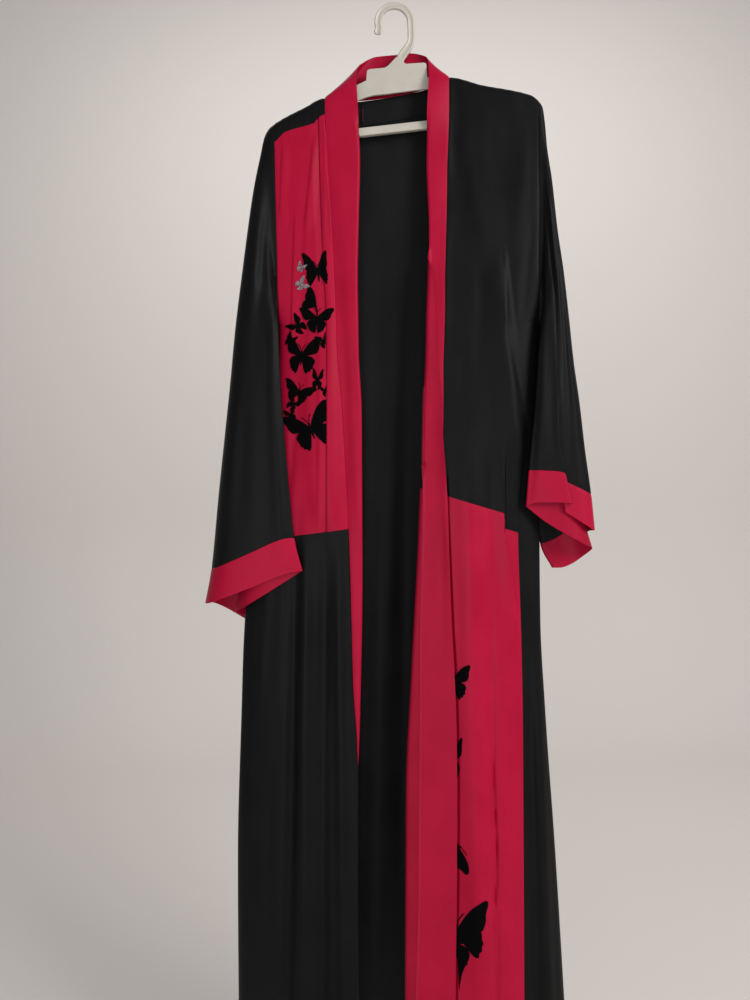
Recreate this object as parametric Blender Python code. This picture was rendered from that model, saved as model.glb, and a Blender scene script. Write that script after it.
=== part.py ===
"""Abaya on a hanger: an open-fronted, floor-length dress hung by its shoulders.

Sizes are in millimetres, measured from the point inside the hanger's hook that takes the
weight: X to the right as the front is looked at, Y to the back, Z up. "Left" and "right" in
the names are the wearer's, so the right front is on the -X side.
"""
import bisect
import math

import bmesh
import bpy
from mathutils import Vector

MM = 0.001
WALL = 1.3
SEAM = 0.2

# Heights of the main levels
UNDERARM = -450.0
HEM = -1540.0

# Armholes lie in upright planes over the ends of the hanger
ARM_RIGHT_X = -176.0
ARM_LEFT_X = 204.5
ARM_DEPTH = 12.0
ARM_ROUNDING = 70.0
SLEEVE_GAP = 0.4

# The neck opening between the two shoulder seams
NECK_RIGHT_X = -104.0
NECK_LEFT_X = 77.0
NECK_TURN = 14.0
RIDGE_RADIUS = 11.0

# How tightly the free edges roll, how far before its roll a front's columns draw together,
# and the least share of a band on each side of its roll
ROLL = 4.0
KNEE_RUN = 8.0
BAND_LEAST_SHARE = 0.16
# Turn past a side seam, in radians, by which the cloth beyond it steers the wall's edge
GUIDE_TURN = 0.08

COLOURS = {
    "black": (0.010, 0.010, 0.011, 1.0),
    "crimson": (0.42, 0.012, 0.04, 1.0),
    "cream": (0.55, 0.51, 0.44, 1.0),
}


def smooth(keys, values):
    """Curve through the values that never swings past them; the keys may rise or fall."""
    if keys[0] > keys[-1]:
        keys = keys[::-1]
        values = values[::-1]
    steps = []
    for i in range(len(keys) - 1):
        steps.append((values[i + 1] - values[i]) / (keys[i + 1] - keys[i]))
    slopes = [steps[0]]
    for before, after in zip(steps, steps[1:]):
        slopes.append(2 * before * after / (before + after) if before * after > 0 else 0.0)
    slopes.append(steps[-1])

    def value(key):
        key = min(max(key, keys[0]), keys[-1])
        i = min(bisect.bisect_right(keys, key) - 1, len(keys) - 2)
        gap = keys[i + 1] - keys[i]
        t = (key - keys[i]) / gap
        ends = values[i] * (1 + 2 * t) * (1 - t) ** 2 + values[i + 1] * t * t * (3 - 2 * t)
        return ends + gap * (slopes[i] * t * (1 - t) ** 2 - slopes[i + 1] * t * t * (1 - t))

    return value


def table(names, *rows):
    """Smooth functions of the first column, one for each other named column."""
    keys = [row[0] for row in rows]
    columns = {}
    for i, name in enumerate(names.split()):
        if i > 0:
            columns[name] = smooth(keys, [row[i] for row in rows])
    return columns


# The body at each height: its sides, how deep its front and back stand, and the side seams
BODY = table(
    "z left right front back seam_right seam_left",
    (-90, -176, 204.5, 11, 14, -176, 204.5),
    (-180, -176, 204.5, 12, 14, -176, 204.5),
    (-300, -176, 204.5, 16, 17, -176, 204.5),
    (-450, -176, 204.5, 20, 21, -176, 204.5),
    (-600, -190, 204.5, 22, 23, -184, 190),
    (-755, -216, 205, 24, 25, -206, 170.5),
    (-890, -236, 206, 26, 27, -224, 174),
    (-1030, -244, 213, 28, 29, -230, 176),
    (-1240, -254, 227, 32, 33, -236, 175),
    (-1540, -259, 244, 36, 37, -240, 174),
)

# The top edge of the cloth: both shoulder ridges and the back neck seam between them
TOP = table(
    "x z",
    (-176, -161),
    (-160, -152),
    (-133, -139),
    (-104, -126),
    (-80, -126),
    (-56, -125),
    (-27, -122),
    (15, -115),
    (47, -108),
    (62, -103),
    (77, -99),
    (124, -110.5),
    (174, -120),
    (195, -126),
    (204.5, -133),
)["z"]

# The right front's free edge: where it folds, and how far past the fold the band seam lies
RIGHT_EDGE = table(
    "z fold seam free lift",
    (-100, -55, -44, 8, 0),
    (-154, -55, -43.5, 8.5, 0),
    (-210, -53, -43, 9, 0),
    (-296, -56, -35.5, 16.5, 0),
    (-397, -59, -28.5, 23.5, 0),
    (-489, -59, -26.5, 25.5, 0),
    (-574, -56, -23.5, 28.5, 0),
    (-689, -57, -18, 34, 0),
    (-804, -58, -14.5, 37.5, 0),
    (-891, -60, -11.5, 40.5, 0),
    (-977, -63, -7.5, 44.5, 0),
    (-1034, -65, -2.5, 49.5, 0),
    (-1111, -68, 5.5, 57.5, 0),
    (-1240, -70, 14, 66, 0),
    (-1458, -73, 24, 76, 0),
    (-1540, -74, 26, 78, 0),
)

# The left front's free edge, turned in above TURN_OVER and turned out like a lapel below it
TURN_OVER = -345.0
LEFT_EDGE = table(
    "z fold seam free lift",
    (-100, 44, -28, 8, 0),
    (-154, 44, -27.5, 8, 0),
    (-226, 42, -26, 8, 0),
    (-300, 43.5, -22.5, 3.5, 0),
    (-345, 44.8, -21, 0.6, 0),
    (-380, 42.3, -20.5, 14.8, 0.8),
    (-443, 39.5, -22.3, 21.2, 2.5),
    (-505, 37.4, -20, 25, 5),
    (-550, 34.6, -12, 31, 9),
    (-600, 32.7, 0, 36, 12),
    (-645, 31.0, 7, 40, 14),
    (-690, 27.8, 12, 45, 14),
    (-794, 22, 15.5, 52, 12),
    (-886, 16, 19, 64, 8),
    (-995, 9, 24, 74, 6),
    (-1109, 2, 29, 82, 4),
    (-1264, -1, 29, 83, 4),
    (-1454, -4, 26, 82, 4),
    (-1540, -5, 25, 81, 4),
)

# Long folds: place at the top and bottom, reach, fade, half widths and height from the cloth
FOLD_NAMES = "x_top x_bottom z_top z_bottom fade before after height".split()
FRONT_FOLDS = (
    (-117, -136, -165, -300, 60, 7, 9, -2.0),
    (-146, -158, -270, -470, 60, 9, 9, -1.6),
    (-166, -172, -190, -270, 30, 9, 8, -2.5),
    (-150, -186, -700, -1600, 250, 14, 15, -6.0),
    (-140, -160, -700, -1600, 250, 18, 18, 6.5),
    (-112, -131, -700, -1600, 250, 13, 14, -5.0),
    (-92, -97, -700, -1600, 250, 12, 12, 4.5),
    (80, 85, -115, -260, 50, 7, 10, -2.4),
    (140, 176, -330, -640, 90, 32, 14, 6.0),
    (96, 108, -450, -1600, 400, 30, 34, 6.0),
    (128, 133, -800, -1600, 200, 9, 9, -2.6),
    (150, 174, -715, -930, 60, 16, 8, 4.5),
    (182, 196, -800, -1600, 300, 14, 16, -6.0),
    (196, 218, -800, -1600, 300, 16, 14, 6.0),
)
BACK_FOLDS = (
    (-130, -196, -260, -1600, 500, 26, 26, 6.0),
    (-96, -150, -420, -1600, 400, 22, 22, -6.0),
    (-62, -104, -300, -1600, 600, 24, 24, 7.0),
    (-20, -54, -520, -1600, 500, 24, 24, -5.5),
    (18, -8, -240, -1600, 700, 26, 26, 8.0),
    (48, 44, -560, -1600, 500, 26, 26, -6.0),
    (84, 92, -300, -1600, 600, 24, 24, 7.0),
    (120, 142, -480, -1600, 400, 24, 24, -6.0),
    (158, 190, -260, -1600, 500, 26, 24, 6.0),
)

# The knife pleat of the chest panel: place of its edge at each height
PLEAT_X = table(
    "z x",
    (-150, -110),
    (-220, -109),
    (-320, -107),
    (-360, -101.5),
    (-474, -104.5),
    (-625, -107.5),
    (-757, -110),
)["x"]
PLEAT_UNDERLAP = 12.0
# Least width left between the pleat's underlap and the band seam
PLEAT_SPARE = 2.5
# A place inside the chest panel at which a slanted row finds its height
CHEST_MIDDLE_X = -140.0
# Points across the pleat: share of the underlap, sideways and backwards from its edge
PLEAT_POINTS = (
    (0.0, -22.0, 0.0),
    (0.0, -11.0, 2.6),
    (0.0, 0.0, 4.7),
    (0.6, 0.0, 4.7),
    (0.95, 0.0, 4.7),
    (1.0, 0.0, 4.1),
    (0.95, 0.0, 3.5),
    (0.4, 0.6, 3.5),
    (0.0, 1.0, 3.5),
    (0.0, -1.2, 2.9),
    (0.0, -1.9, 1.75),
    (0.0, -1.2, 0.5),
    (0.0, 1.0, 0.0),
)

# A sleeve from its armhole (0) to the cuff seam (1) and the hem (1.15): its outer edge, the
# inner edges of its front and back laps, the underarm fold between them that straddles the
# body's side, and how far the inner and outer faces of the laps stand from the middle
SLEEVE_NAMES = (
    "t outer_x outer_z front_x front_z fold_x fold_z back_x back_z inner outer"
)
RIGHT_SLEEVE = table(
    SLEEVE_NAMES,
    (0.00, -176, -161, -176, -375, -176, -450, -176, -375, 12, 12),
    (0.04, -184, -167, -177.5, -378, -178, -450, -177.5, -378, 11, 12.5),
    (0.09, -191, -178, -179, -381, -181, -451, -179, -381, 11, 13),
    (0.15, -198, -206, -180, -385, -182, -452, -180, -385, 12, 15),
    (0.25, -208, -250, -180, -400, -184, -455, -180, -400, 15, 19),
    (0.35, -219, -315, -176.5, -425, -186, -462, -179, -425, 18, 24),
    (0.45, -228, -375, -174, -452, -190, -480, -178, -455, 22, 30),
    (0.55, -239, -450, -173, -490, -193, -515, -178, -500, 25, 33),
    (0.65, -249, -535, -171.5, -545, -200, -565, -178.5, -565, 26, 35),
    (0.75, -258, -605, -168, -605, -207, -630, -178, -640, 27, 36),
    (0.87, -269, -690, -163, -680, -219, -719, -175, -755, 28, 37),
    (1.00, -283, -806, -156, -759, -238, -823, -170, -890, 29, 40),
    (1.15, -293.5, -857, -145, -807, -249, -871, -163, -940, 29, 41),
)
LEFT_SLEEVE = table(
    SLEEVE_NAMES,
    (0.00, 204.5, -133, 204.5, -375, 204.5, -450, 204.5, -375, 12, 12),
    (0.04, 210.5, -141, 206, -378, 206.5, -450, 206, -378, 11, 12.5),
    (0.09, 214, -158, 207.5, -381, 209, -451, 207.5, -381, 11, 13),
    (0.15, 217, -194, 208.5, -385, 211, -452, 208.5, -385, 12, 15),
    (0.25, 224, -243, 208.5, -400, 212.5, -455, 208.5, -400, 15, 19),
    (0.35, 231.5, -315, 207, -425, 213.5, -462, 207.5, -425, 18, 24),
    (0.45, 240, -376, 205, -452, 214, -480, 206, -455, 20, 29),
    (0.55, 248, -445, 200, -490, 215.5, -512, 203, -495, 22, 31),
    (0.65, 254.5, -505, 197, -530, 218.5, -550, 202, -545, 23, 32),
    (0.75, 264, -572, 193, -580, 226.5, -602, 201, -605, 24, 33),
    (0.87, 272, -640, 188, -625, 243.5, -667, 202, -692, 25, 34),
    (1.00, 281, -704, 184, -665.5, 269, -740, 212, -779, 26, 35),
    (1.15, 286.5, -757, 179.5, -718, 283, -784, 230, -816, 26, 36),
)
# How far the front lap's cuff seam and hem rise above a straight line, from the outer edge
# in, how far down the sleeve that starts, and the cuff's share of the sleeve's length
RIGHT_BOW = table(
    "along seam hem",
    (0, 0, 0),
    (0.5, 3.5, 2.8),
    (0.8, 6, 5),
    (0.9, 5, 4),
    (1, 0, 0),
)
LEFT_BOW = table(
    "along seam hem",
    (0, 0, 0),
    (0.3, 4, 8),
    (0.48, 17, 26),
    (0.75, 9, 15),
    (0.88, 5, 11),
    (1, 0, 0),
)
BOW_START = 0.8
CUFF_SHARE = 0.15

# Points from the outer edge to a lap's inner edge, then back to the underarm fold: share of
# the way, and share of the lap's depth
OUTER_RUN = (
    (0.0, 0.0), (0.03, 0.42), (0.09, 0.72), (0.2, 0.93), (0.36, 1.0), (0.54, 1.0), (0.72, 1.0),
    (0.9, 1.0),
)
INNER_RUN = ((0.04, 1.0), (0.3, 1.0), (0.58, 1.0), (0.84, 0.75))
# Share of a sleeve's length over which it takes the armhole's shape
ARMHOLE_SHARE = 0.1
SLEEVE_RINGS = (0, 0.03, 0.07, 0.12, 0.2, 0.3, 0.4, 0.5, 0.6, 0.72, 0.85, 0.95, 1.0)
CUFF_RINGS = (1.0, 1.05, 1.1, 1.15)
CUFF_SEAM_SHARE = 0.0004

# Slanted seams, each a straight line across its front: height at x = 0 and rise per mm of x
YOKE_SEAM = (-99.8, 0.507)
CHEST_SEAM = (-739.1, 0.115)
COLOUR_SEAM = (-681.3, -0.31)

RIDGE_STEPS = (0.0, 0.8, 3.0, 7.0, 12.0)
CHEST_LEVELS = (
    -225, -275, -320, -345, -390, -430, -450, -475, -520, -550, -575, -600, -625, -650, -700,
)
SKIRT_LEVELS = (-830, -930, -990, -1040, -1080, -1120, -1170, -1230, -1320, -1420, HEM)
UPPER_LEVELS = (
    -152, -190, -225, -275, -320, -345, -357, -370, -400, -430, -450, -475, -520, -550, -575, -600,
    -625, -650,
)
LOWEST_UPPER_SHARE = 0.575
LOWER_LEVELS = (-765, -830, -930, -1040, -1160, -1290, -1420, HEM)
BACK_LEVELS = (
    -195, -260, -330, -390, -430, -450, -475, -520, -550, -575, -600, -625, -650, -700, -734,
    -765, -830, -930, -1040, -1160, -1290, -1420, HEM,
)
# Points across the upper pieces and the label
YOKE_COLUMNS = 9
CHEST_COLUMNS = 9
RIDGE_COLUMNS = 14
LABEL_COLUMNS = 9
# Points across each front before its rolled edge and on it, and across the back
SKIRT_COLUMNS = (17, 8)
UPPER_COLUMNS = (15, 6)
LOWER_COLUMNS = (15, 11)
BACK_COLUMNS = 34
BACK_CROWDING = 0.4

# The band round the neck: each row's seam point, on the front at a height or on the back at
# an x, its free edge in space, and how far the row is lifted off the panels' corner
NECK_NAMES = "on at edge_x edge_y edge_z lift".split()
NECK_RIGHT = (
    ("front", -152, -55, -15.0, -150, 0.0),
    ("front", -137, -56, -14.0, -125, 0.6),
    ("front", -128, -57, -9.0, -101, 1.6),
    ("back", -100, -55, 2.0, -81, 2.0),
    ("back", -86, -46, 12.0, -69, 2.0),
    ("back", -62, -33, 18.0, -60, 1.2),
    ("back", -36, -16, 20.0, -57, 0.4),
    ("back", -8, 2, 20.5, -55.5, 0.0),
)
NECK_LEFT = (
    ("back", -8, 2, 20.5, -55.5, 0.0),
    ("back", 16, 15, 20.0, -54, 0.0),
    ("back", 40, 28, 18.0, -55, 0.6),
    ("back", 60, 37, 12.0, -60, 1.6),
    ("back", 73, 43, 4.0, -68, 2.0),
    ("front", -101, 44, -6.0, -85, 1.6),
    ("front", -112, 44, -14.0, -110, 0.8),
    ("front", -152, 43.5, -17.0, -150, 0.0),
)
NECK_FOOT = -154.0
# How far the neck band bows out between its seam and its edge: sideways, in depth and up
NECK_BULGE = (0.4, 1.0, 0.5)

# The hanger, moulded in one piece
HANGER_THICK = 9.0
PLATE_THICK = 4.4
HANGER_BEVEL = 1.6
HANGER_UNDER_CLOTH = 2.7
HOOK_WIRE = 3.6
HOOK_TIP_SWELL = 1.3
HOOK_CENTRE_X = -1.5
HOOK_RADIUS = 23.6
# The hook's way down into the plate: x, z and its thickness as a share of the wire's
HOOK_STEM = [(22.5, -34, 1), (20.5, -46, 1), (17.8, -56, 1), (12, -64, 1), (6.5, -70, 0.85)]
HOOK_STEM += [(4.5, -78, 0.6)]
LABEL_THICK = 1.0
LABEL_GAP = 0.3
LABEL_ENDS = (-50, 50)
LABEL_DROPS = (3.0, 19.0, 35.0)


def between(a, b, share):
    return a + (b - a) * share


def ease(share):
    """Smooth step from 0 to 1."""
    share = min(max(share, 0.0), 1.0)
    return share * share * (3 - 2 * share)


def armhole_depth(z):
    """Half the armhole's opening from front to back at a height."""
    if z <= UNDERARM:
        return 0.0
    rise = min((z - UNDERARM) / ARM_ROUNDING, 1.0)
    return ARM_DEPTH * math.sqrt(1 - (1 - rise) ** 2)


def neck_share(x):
    """0 on the shoulders, 1 behind the neck, where the back has no ridge."""
    return ease(min(x - NECK_RIGHT_X, NECK_LEFT_X - x) / NECK_TURN)


def over_ridge(x, z, side):
    """Share of the depth kept near the shoulder ridge, where the cloth rounds over it."""
    drop = min(max((TOP(x) - z) / RIDGE_RADIUS, 0.0), 1.0)
    share = math.sqrt(1 - (1 - drop) ** 2)
    if side > 0:
        share = between(share, 1.0, neck_share(x))
    return share


def fold_height(x, z, folds):
    """Height of all the long folds at a place on the cloth."""
    total = 0.0
    for row in folds:
        fold = dict(zip(FOLD_NAMES, row))
        if not fold["z_bottom"] < z < fold["z_top"]:
            continue
        share = (fold["z_top"] - z) / (fold["z_top"] - fold["z_bottom"])
        offset = x - between(fold["x_top"], fold["x_bottom"], share)
        width = fold["before"] if offset < 0 else fold["after"]
        if abs(offset) < width:
            start = ease((fold["z_top"] - z) / fold["fade"])
            end = ease((z - fold["z_bottom"]) / fold["fade"])
            profile = 0.5 + 0.5 * math.cos(math.pi * offset / width)
            total += fold["height"] * profile * start * min(end * 2, 1.0)
    return total


def body_y(x, z, side):
    """Depth of the body's front (side -1) or back (side 1) at a place."""
    left = BODY["left"](z)
    right = BODY["right"](z)
    across = min(max((2 * x - left - right) / (right - left), -1.0), 1.0)
    girth = math.sqrt(1 - across ** 4)
    depth = BODY["front" if side < 0 else "back"](z)
    edge = armhole_depth(z)
    folds = fold_height(x, z, FRONT_FOLDS if side < 0 else BACK_FOLDS)
    depth = edge + (depth - edge) * girth + folds * min(1.3 * girth, 1.0)
    return side * depth * over_ridge(x, z, side)


def seam_angle(z, name):
    """How far round its side of the body, past the middle, a side seam lies."""
    left = BODY["left"](z)
    right = BODY["right"](z)
    x = BODY[name](z)
    across = min(abs(2 * x - left - right) / (right - left), 1.0)
    return math.acos(across)


def arc_gap(angle, z):
    """Angle that is half a seam's gap on the body's outline."""
    half = (BODY["right"](z) - BODY["left"](z)) / 2
    speed = math.hypot(half * math.sin(angle), 1.4 * BODY["front"](z))
    return SEAM / speed


def body_point(angle, z):
    """Point of the body's outline: 0 at the right side, pi at the left, the back between."""
    left = BODY["left"](z)
    right = BODY["right"](z)
    x = (left + right) / 2 - (right - left) / 2 * math.cos(angle)
    side = 1 if 0 <= angle <= math.pi else -1
    return Vector((x, body_y(x, z, side), z))


def side_x(z, name):
    """X at which a front begins, half a gap from the side seam."""
    angle = seam_angle(z, name)
    angle += arc_gap(angle, z)
    middle = (BODY["left"](z) + BODY["right"](z)) / 2
    half = (BODY["right"](z) - BODY["left"](z)) / 2
    sign = -1 if name == "seam_right" else 1
    if z > UNDERARM:
        return middle + sign * half
    return middle + sign * half * math.cos(angle)


def edge_point(side, run, z):
    """Point of a front near its free edge, by the run of cloth past the start of its fold.

    side is -1 for the right front and 1 for the left one.
    """
    edge = RIGHT_EDGE if side < 0 else LEFT_EDGE
    start = edge["fold"](z) + side * ROLL
    if run <= 0:
        x = start + side * -run
        return Vector((x, body_y(x, z, -1), z))
    turn = -1 if side > 0 and z < TURN_OVER else 1
    angle = min(run / ROLL, math.pi)
    beyond = max(run - math.pi * ROLL, 0.0)
    x = start - side * ROLL * math.sin(angle) + side * beyond
    lift = edge["lift"](z) * (beyond / max(edge["free"](z), 1.0)) ** 2
    base_x = start + side * beyond
    y = body_y(base_x, z, -1) + turn * (ROLL * (1 - math.cos(angle)) + lift)
    return Vector((x, y, z))


def slant(seam, x):
    return seam[0] + seam[1] * x


def vertex_normals(grid, loop):
    """Outward direction at each point of a grid whose rows run down the outer face."""
    rows = len(grid)
    columns = len(grid[0])
    normals = [[Vector((0, 0, 0)) for _ in range(columns)] for _ in range(rows)]
    for i in range(rows - 1):
        for j in range(columns if loop else columns - 1):
            after = (j + 1) % columns
            down = grid[i + 1][j] + grid[i + 1][after] - grid[i][j] - grid[i][after]
            across = grid[i][after] + grid[i + 1][after] - grid[i][j] - grid[i + 1][j]
            face = down.cross(across)
            for row, column in ((i, j), (i + 1, j), (i, after), (i + 1, after)):
                normals[row][column] += face
    return normals


def wall(name, grid, colour, loop=False, keep=None, thick=WALL, spare=(0, 0, 0, 0)):
    """A closed cloth wall under a grid of outer points, with its thickness on the inside.

    keep(row, column, point) may give shares by which a normal's parts are kept, so that an
    edge's thickness stays in the plane of its seam. spare says how many rows at the top and
    bottom and columns at the start and end only steer the normals, as the cloth across a
    seam does, and aren't built.
    """
    normals = vertex_normals(grid, loop)
    top, bottom, first, last = spare
    rows = slice(top, len(grid) - bottom)
    columns = slice(first, len(grid[0]) - last)
    normals = [row[columns] for row in normals[rows]]
    grid = [row[columns] for row in grid[rows]]
    rows = len(grid)
    columns = len(grid[0])
    bm = bmesh.new()
    outer = []
    inner = []
    for i in range(rows):
        outer.append([])
        inner.append([])
        for j in range(columns):
            normal = normals[i][j]
            if keep:
                shares = keep(i, j, grid[i][j])
                normal = Vector([part * share for part, share in zip(normal, shares)])
            normal.normalize()
            outer[i].append(bm.verts.new(grid[i][j] * MM))
            inner[i].append(bm.verts.new((grid[i][j] - normal * thick) * MM))
    for i in range(rows - 1):
        for j in range(columns if loop else columns - 1):
            after = (j + 1) % columns
            corners = ((i, j), (i + 1, j), (i + 1, after), (i, after))
            a, b, c, d = [grid[row][column] for row, column in corners]
            if (a - c).length > (b - d).length:
                corners = corners[1:] + corners[:1]
            for picked in (corners[:3], (corners[0], corners[2], corners[3])):
                bm.faces.new([outer[row][column] for row, column in picked])
                bm.faces.new([inner[row][column] for row, column in picked[::-1]])
    for i, first in ((0, True), (rows - 1, False)):
        for j in range(columns if loop else columns - 1):
            after = (j + 1) % columns
            rim = (outer[i][j], outer[i][after], inner[i][after], inner[i][j])
            add_rim(bm, rim, first)
    if not loop:
        for j, first in ((0, True), (columns - 1, False)):
            for i in range(rows - 1):
                rim = (outer[i][j], inner[i][j], inner[i + 1][j], outer[i + 1][j])
                add_rim(bm, rim, first)
    bmesh.ops.recalc_face_normals(bm, faces=bm.faces)
    add_object(name, bm, colour)


def add_rim(bm, rim, first):
    """Two faces over a wall's edge, split the same way on both sides of a seam."""
    for corners in ((rim[0], rim[1], rim[2]), (rim[0], rim[2], rim[3])):
        bm.faces.new(corners if first else corners[::-1])


def add_object(name, bm, colour):
    mesh = bpy.data.meshes.new(name)
    bm.to_mesh(mesh)
    bm.free()
    mesh.shade_smooth()
    mesh.materials.append(MATERIALS[colour](name))
    part = bpy.data.objects.new(name, mesh)
    PARTS.objects.link(part)
    return part


def material(name, colour, roughness):
    made = bpy.data.materials.new(name)
    made.use_nodes = True
    shader = made.node_tree.nodes["Principled BSDF"]
    shader.inputs["Base Color"].default_value = colour
    shader.inputs["Roughness"].default_value = roughness
    shader.inputs["Metallic"].default_value = 0.0
    made.diffuse_color = colour
    return made


MATERIALS = {
    "black": lambda name: material(name + "_black_satin", COLOURS["black"], 0.55),
    "crimson": lambda name: material(name + "_crimson_satin", COLOURS["crimson"], 0.5),
    "cream": lambda name: material(name + "_cream_plastic", COLOURS["cream"], 0.4),
}


def shares(count, crowd_start=False, crowd_end=False):
    """Even shares from 0 to 1, crowded towards an end that curves away."""
    values = []
    for i in range(count):
        share = i / (count - 1)
        if crowd_start:
            share = 1 - math.cos(share * math.pi / 2)
        if crowd_end:
            share = math.sin(share * math.pi / 2)
        values.append(share)
    return values


def seam_keep(armhole=None, ridge=False, level_rows=()):
    """Keeps the wall's thickness in the plane of its armhole, shoulder or slanted seam."""
    def keep(i, j, point):
        return (
            0.0 if j == armhole and point.z > UNDERARM + 1 else 1.0,
            0.0 if ridge and i == 0 else 1.0,
            0.0 if i in level_rows else 1.0,
        )
    return keep


def side_guide(z, name, past):
    """Point on the body's outline a little past a side seam, to steer the normals there."""
    angle = seam_angle(z, name) if z <= UNDERARM else 0.0
    angle += past
    return body_point(-angle if name == "seam_right" else math.pi + angle, z)


def right_yoke():
    """Strip over the right shoulder, from the ridge down to the chest panel."""
    grid = []
    for step in RIDGE_STEPS + (None,):
        row = []
        for share in shares(YOKE_COLUMNS):
            x = between(ARM_RIGHT_X, NECK_RIGHT_X, share)
            z = slant(YOKE_SEAM, x) + SEAM if step is None else TOP(x) - step
            seam = edge_point(-1, RIGHT_EDGE["seam"](z), z).x - SEAM
            x = between(ARM_RIGHT_X, seam, share)
            if step is None:
                z = slant(YOKE_SEAM, x) + SEAM
            y = body_y(x, z, -1) - (SEAM if step == 0.0 else 0.0)
            row.append(Vector((x, y, z)))
        grid.append(row)
    keep = seam_keep(armhole=0, ridge=True, level_rows=(len(RIDGE_STEPS),))
    wall("right_yoke", grid, "black", keep=keep)


def chest_row(z_of):
    """One row of the chest panel; z_of gives the height at an x."""
    row = []
    first = z_of(CHEST_MIDDLE_X)
    pleat = PLEAT_X(z_of(PLEAT_X(first)))
    seam_z = z_of(edge_point(-1, RIGHT_EDGE["seam"](first), first).x)
    seam = edge_point(-1, RIGHT_EDGE["seam"](seam_z), seam_z).x - SEAM
    start = side_x(z_of(BODY["seam_right"](first)), "seam_right")
    underlap = min(PLEAT_UNDERLAP, seam - pleat - PLEAT_SPARE)
    row.append(side_guide(z_of(start), "seam_right", -GUIDE_TURN))
    for share in shares(CHEST_COLUMNS, crowd_start=True)[:-1]:
        x = between(start, pleat + PLEAT_POINTS[0][1], share)
        row.append(Vector((x, body_y(x, z_of(x), -1), z_of(x))))
    for lap, sideways, back in PLEAT_POINTS:
        x = pleat + lap * underlap + sideways
        row.append(Vector((x, body_y(x, z_of(x), -1) + back, z_of(x))))
    for share in (0.5, 1.0):
        x = between(row[-1].x, seam, share)
        row.append(Vector((x, body_y(x, z_of(x), -1), z_of(x))))
    return row


def right_chest_panel():
    """Crimson panel from the yoke to the waist, with one knife pleat near the band."""
    grid = [chest_row(lambda x: slant(YOKE_SEAM, x) - SEAM)]
    for level in CHEST_LEVELS:
        grid.append(chest_row(lambda x, level=level: level))
    grid.append(chest_row(lambda x: slant(CHEST_SEAM, x) + SEAM))
    keep = seam_keep(armhole=0, level_rows=(0, len(grid) - 1))
    wall("right_chest_panel", grid, "crimson", keep=keep, spare=(0, 0, 1, 0))


def front_row(side, z_of, columns, turned):
    """One row of a front from its side seam to its band seam, listed from -X to +X."""
    edge = RIGHT_EDGE if side < 0 else LEFT_EDGE
    name = "seam_right" if side < 0 else "seam_left"
    guess = z_of(edge["fold"](z_of(0)))
    start_z = z_of(BODY[name](guess))
    side_run = -abs(side_x(start_z, name) - edge["fold"](start_z) - side * ROLL)
    end = edge["seam"](guess) - SEAM
    knee = min(end, 0.0) - KNEE_RUN
    runs = [between(side_run, knee, share) for share in shares(columns, crowd_start=True)]
    runs += [between(knee, end, i / turned) for i in range(1, turned + 1)]
    runs.append(2 * runs[-1] - runs[-2])
    row = [side_guide(start_z, name, -GUIDE_TURN)]
    for run in runs:
        point = edge_point(side, run, guess)
        point = edge_point(side, run, z_of(point.x))
        if run == side_run:
            x = side_x(start_z, name)
            point = Vector((x, body_y(x, start_z, -1), start_z))
        row.append(point)
    return row if side < 0 else row[::-1]


def right_skirt_front():
    """Black lower front on the right, its free edge rolling inwards."""
    grid = [front_row(-1, lambda x: slant(CHEST_SEAM, x) - SEAM, *SKIRT_COLUMNS)]
    for level in SKIRT_LEVELS:
        grid.append(front_row(-1, lambda x, level=level: level, *SKIRT_COLUMNS))
    wall("right_skirt_front", grid, "black", keep=seam_keep(level_rows=(0,)), spare=(0, 0, 1, 1))


def left_upper_front():
    """Black upper front on the left, from the shoulder ridge to the colour seam."""
    grid = []
    for step in RIDGE_STEPS:
        row = []
        for share in shares(RIDGE_COLUMNS):
            x = between(NECK_LEFT_X, ARM_LEFT_X, share)
            z = TOP(x) - step
            seam = edge_point(1, LEFT_EDGE["seam"](z), z).x + SEAM
            x = between(seam, ARM_LEFT_X, share)
            y = body_y(x, z, -1) - (SEAM if step == 0.0 else 0.0)
            row.append(Vector((x, y, z)))
        grid.append(row)
    grid = [resample(row, sum(UPPER_COLUMNS)) for row in grid]
    grid = [[row[0] - Vector((1, 0, 0))] + row + [row[-1]] for row in grid]
    for level in UPPER_LEVELS:
        grid.append(front_row(1, lambda x, level=level: level, *UPPER_COLUMNS))
    for share in (LOWEST_UPPER_SHARE, 1.0):
        grid.append(front_row(1, lambda x, share=share: upper_slant(x, share), *UPPER_COLUMNS))
    armhole = sum(UPPER_COLUMNS) - 1
    keep = seam_keep(armhole=armhole, ridge=True, level_rows=(len(grid) - 1,))
    wall("left_upper_front", grid, "black", keep=keep, spare=(0, 0, 1, 1))


def upper_slant(x, share):
    """Height part of the way from the upper front's last level row to the colour seam."""
    return between(UPPER_LEVELS[-1], slant(COLOUR_SEAM, x) + SEAM, share)


def resample(points, count):
    """The same line with another number of points, spread like a front's columns."""
    lengths = [0.0]
    for a, b in zip(points, points[1:]):
        lengths.append(lengths[-1] + (b - a).length)
    made = []
    for share in shares(count, crowd_end=True):
        target = share * lengths[-1]
        i = min(bisect.bisect_right(lengths, target) - 1, len(points) - 2)
        part = (target - lengths[i]) / (lengths[i + 1] - lengths[i])
        made.append(points[i].lerp(points[i + 1], part))
    return made


def left_lower_panel():
    """Crimson lower front on the left, turned out along its free edge."""
    grid = [front_row(1, lambda x: slant(COLOUR_SEAM, x) - SEAM, *LOWER_COLUMNS)]
    for level in LOWER_LEVELS:
        grid.append(front_row(1, lambda x, level=level: level, *LOWER_COLUMNS))
    keep = seam_keep(level_rows=(0,))
    wall("left_lower_panel", grid, "crimson", keep=keep, spare=(0, 0, 1, 1))


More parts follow.
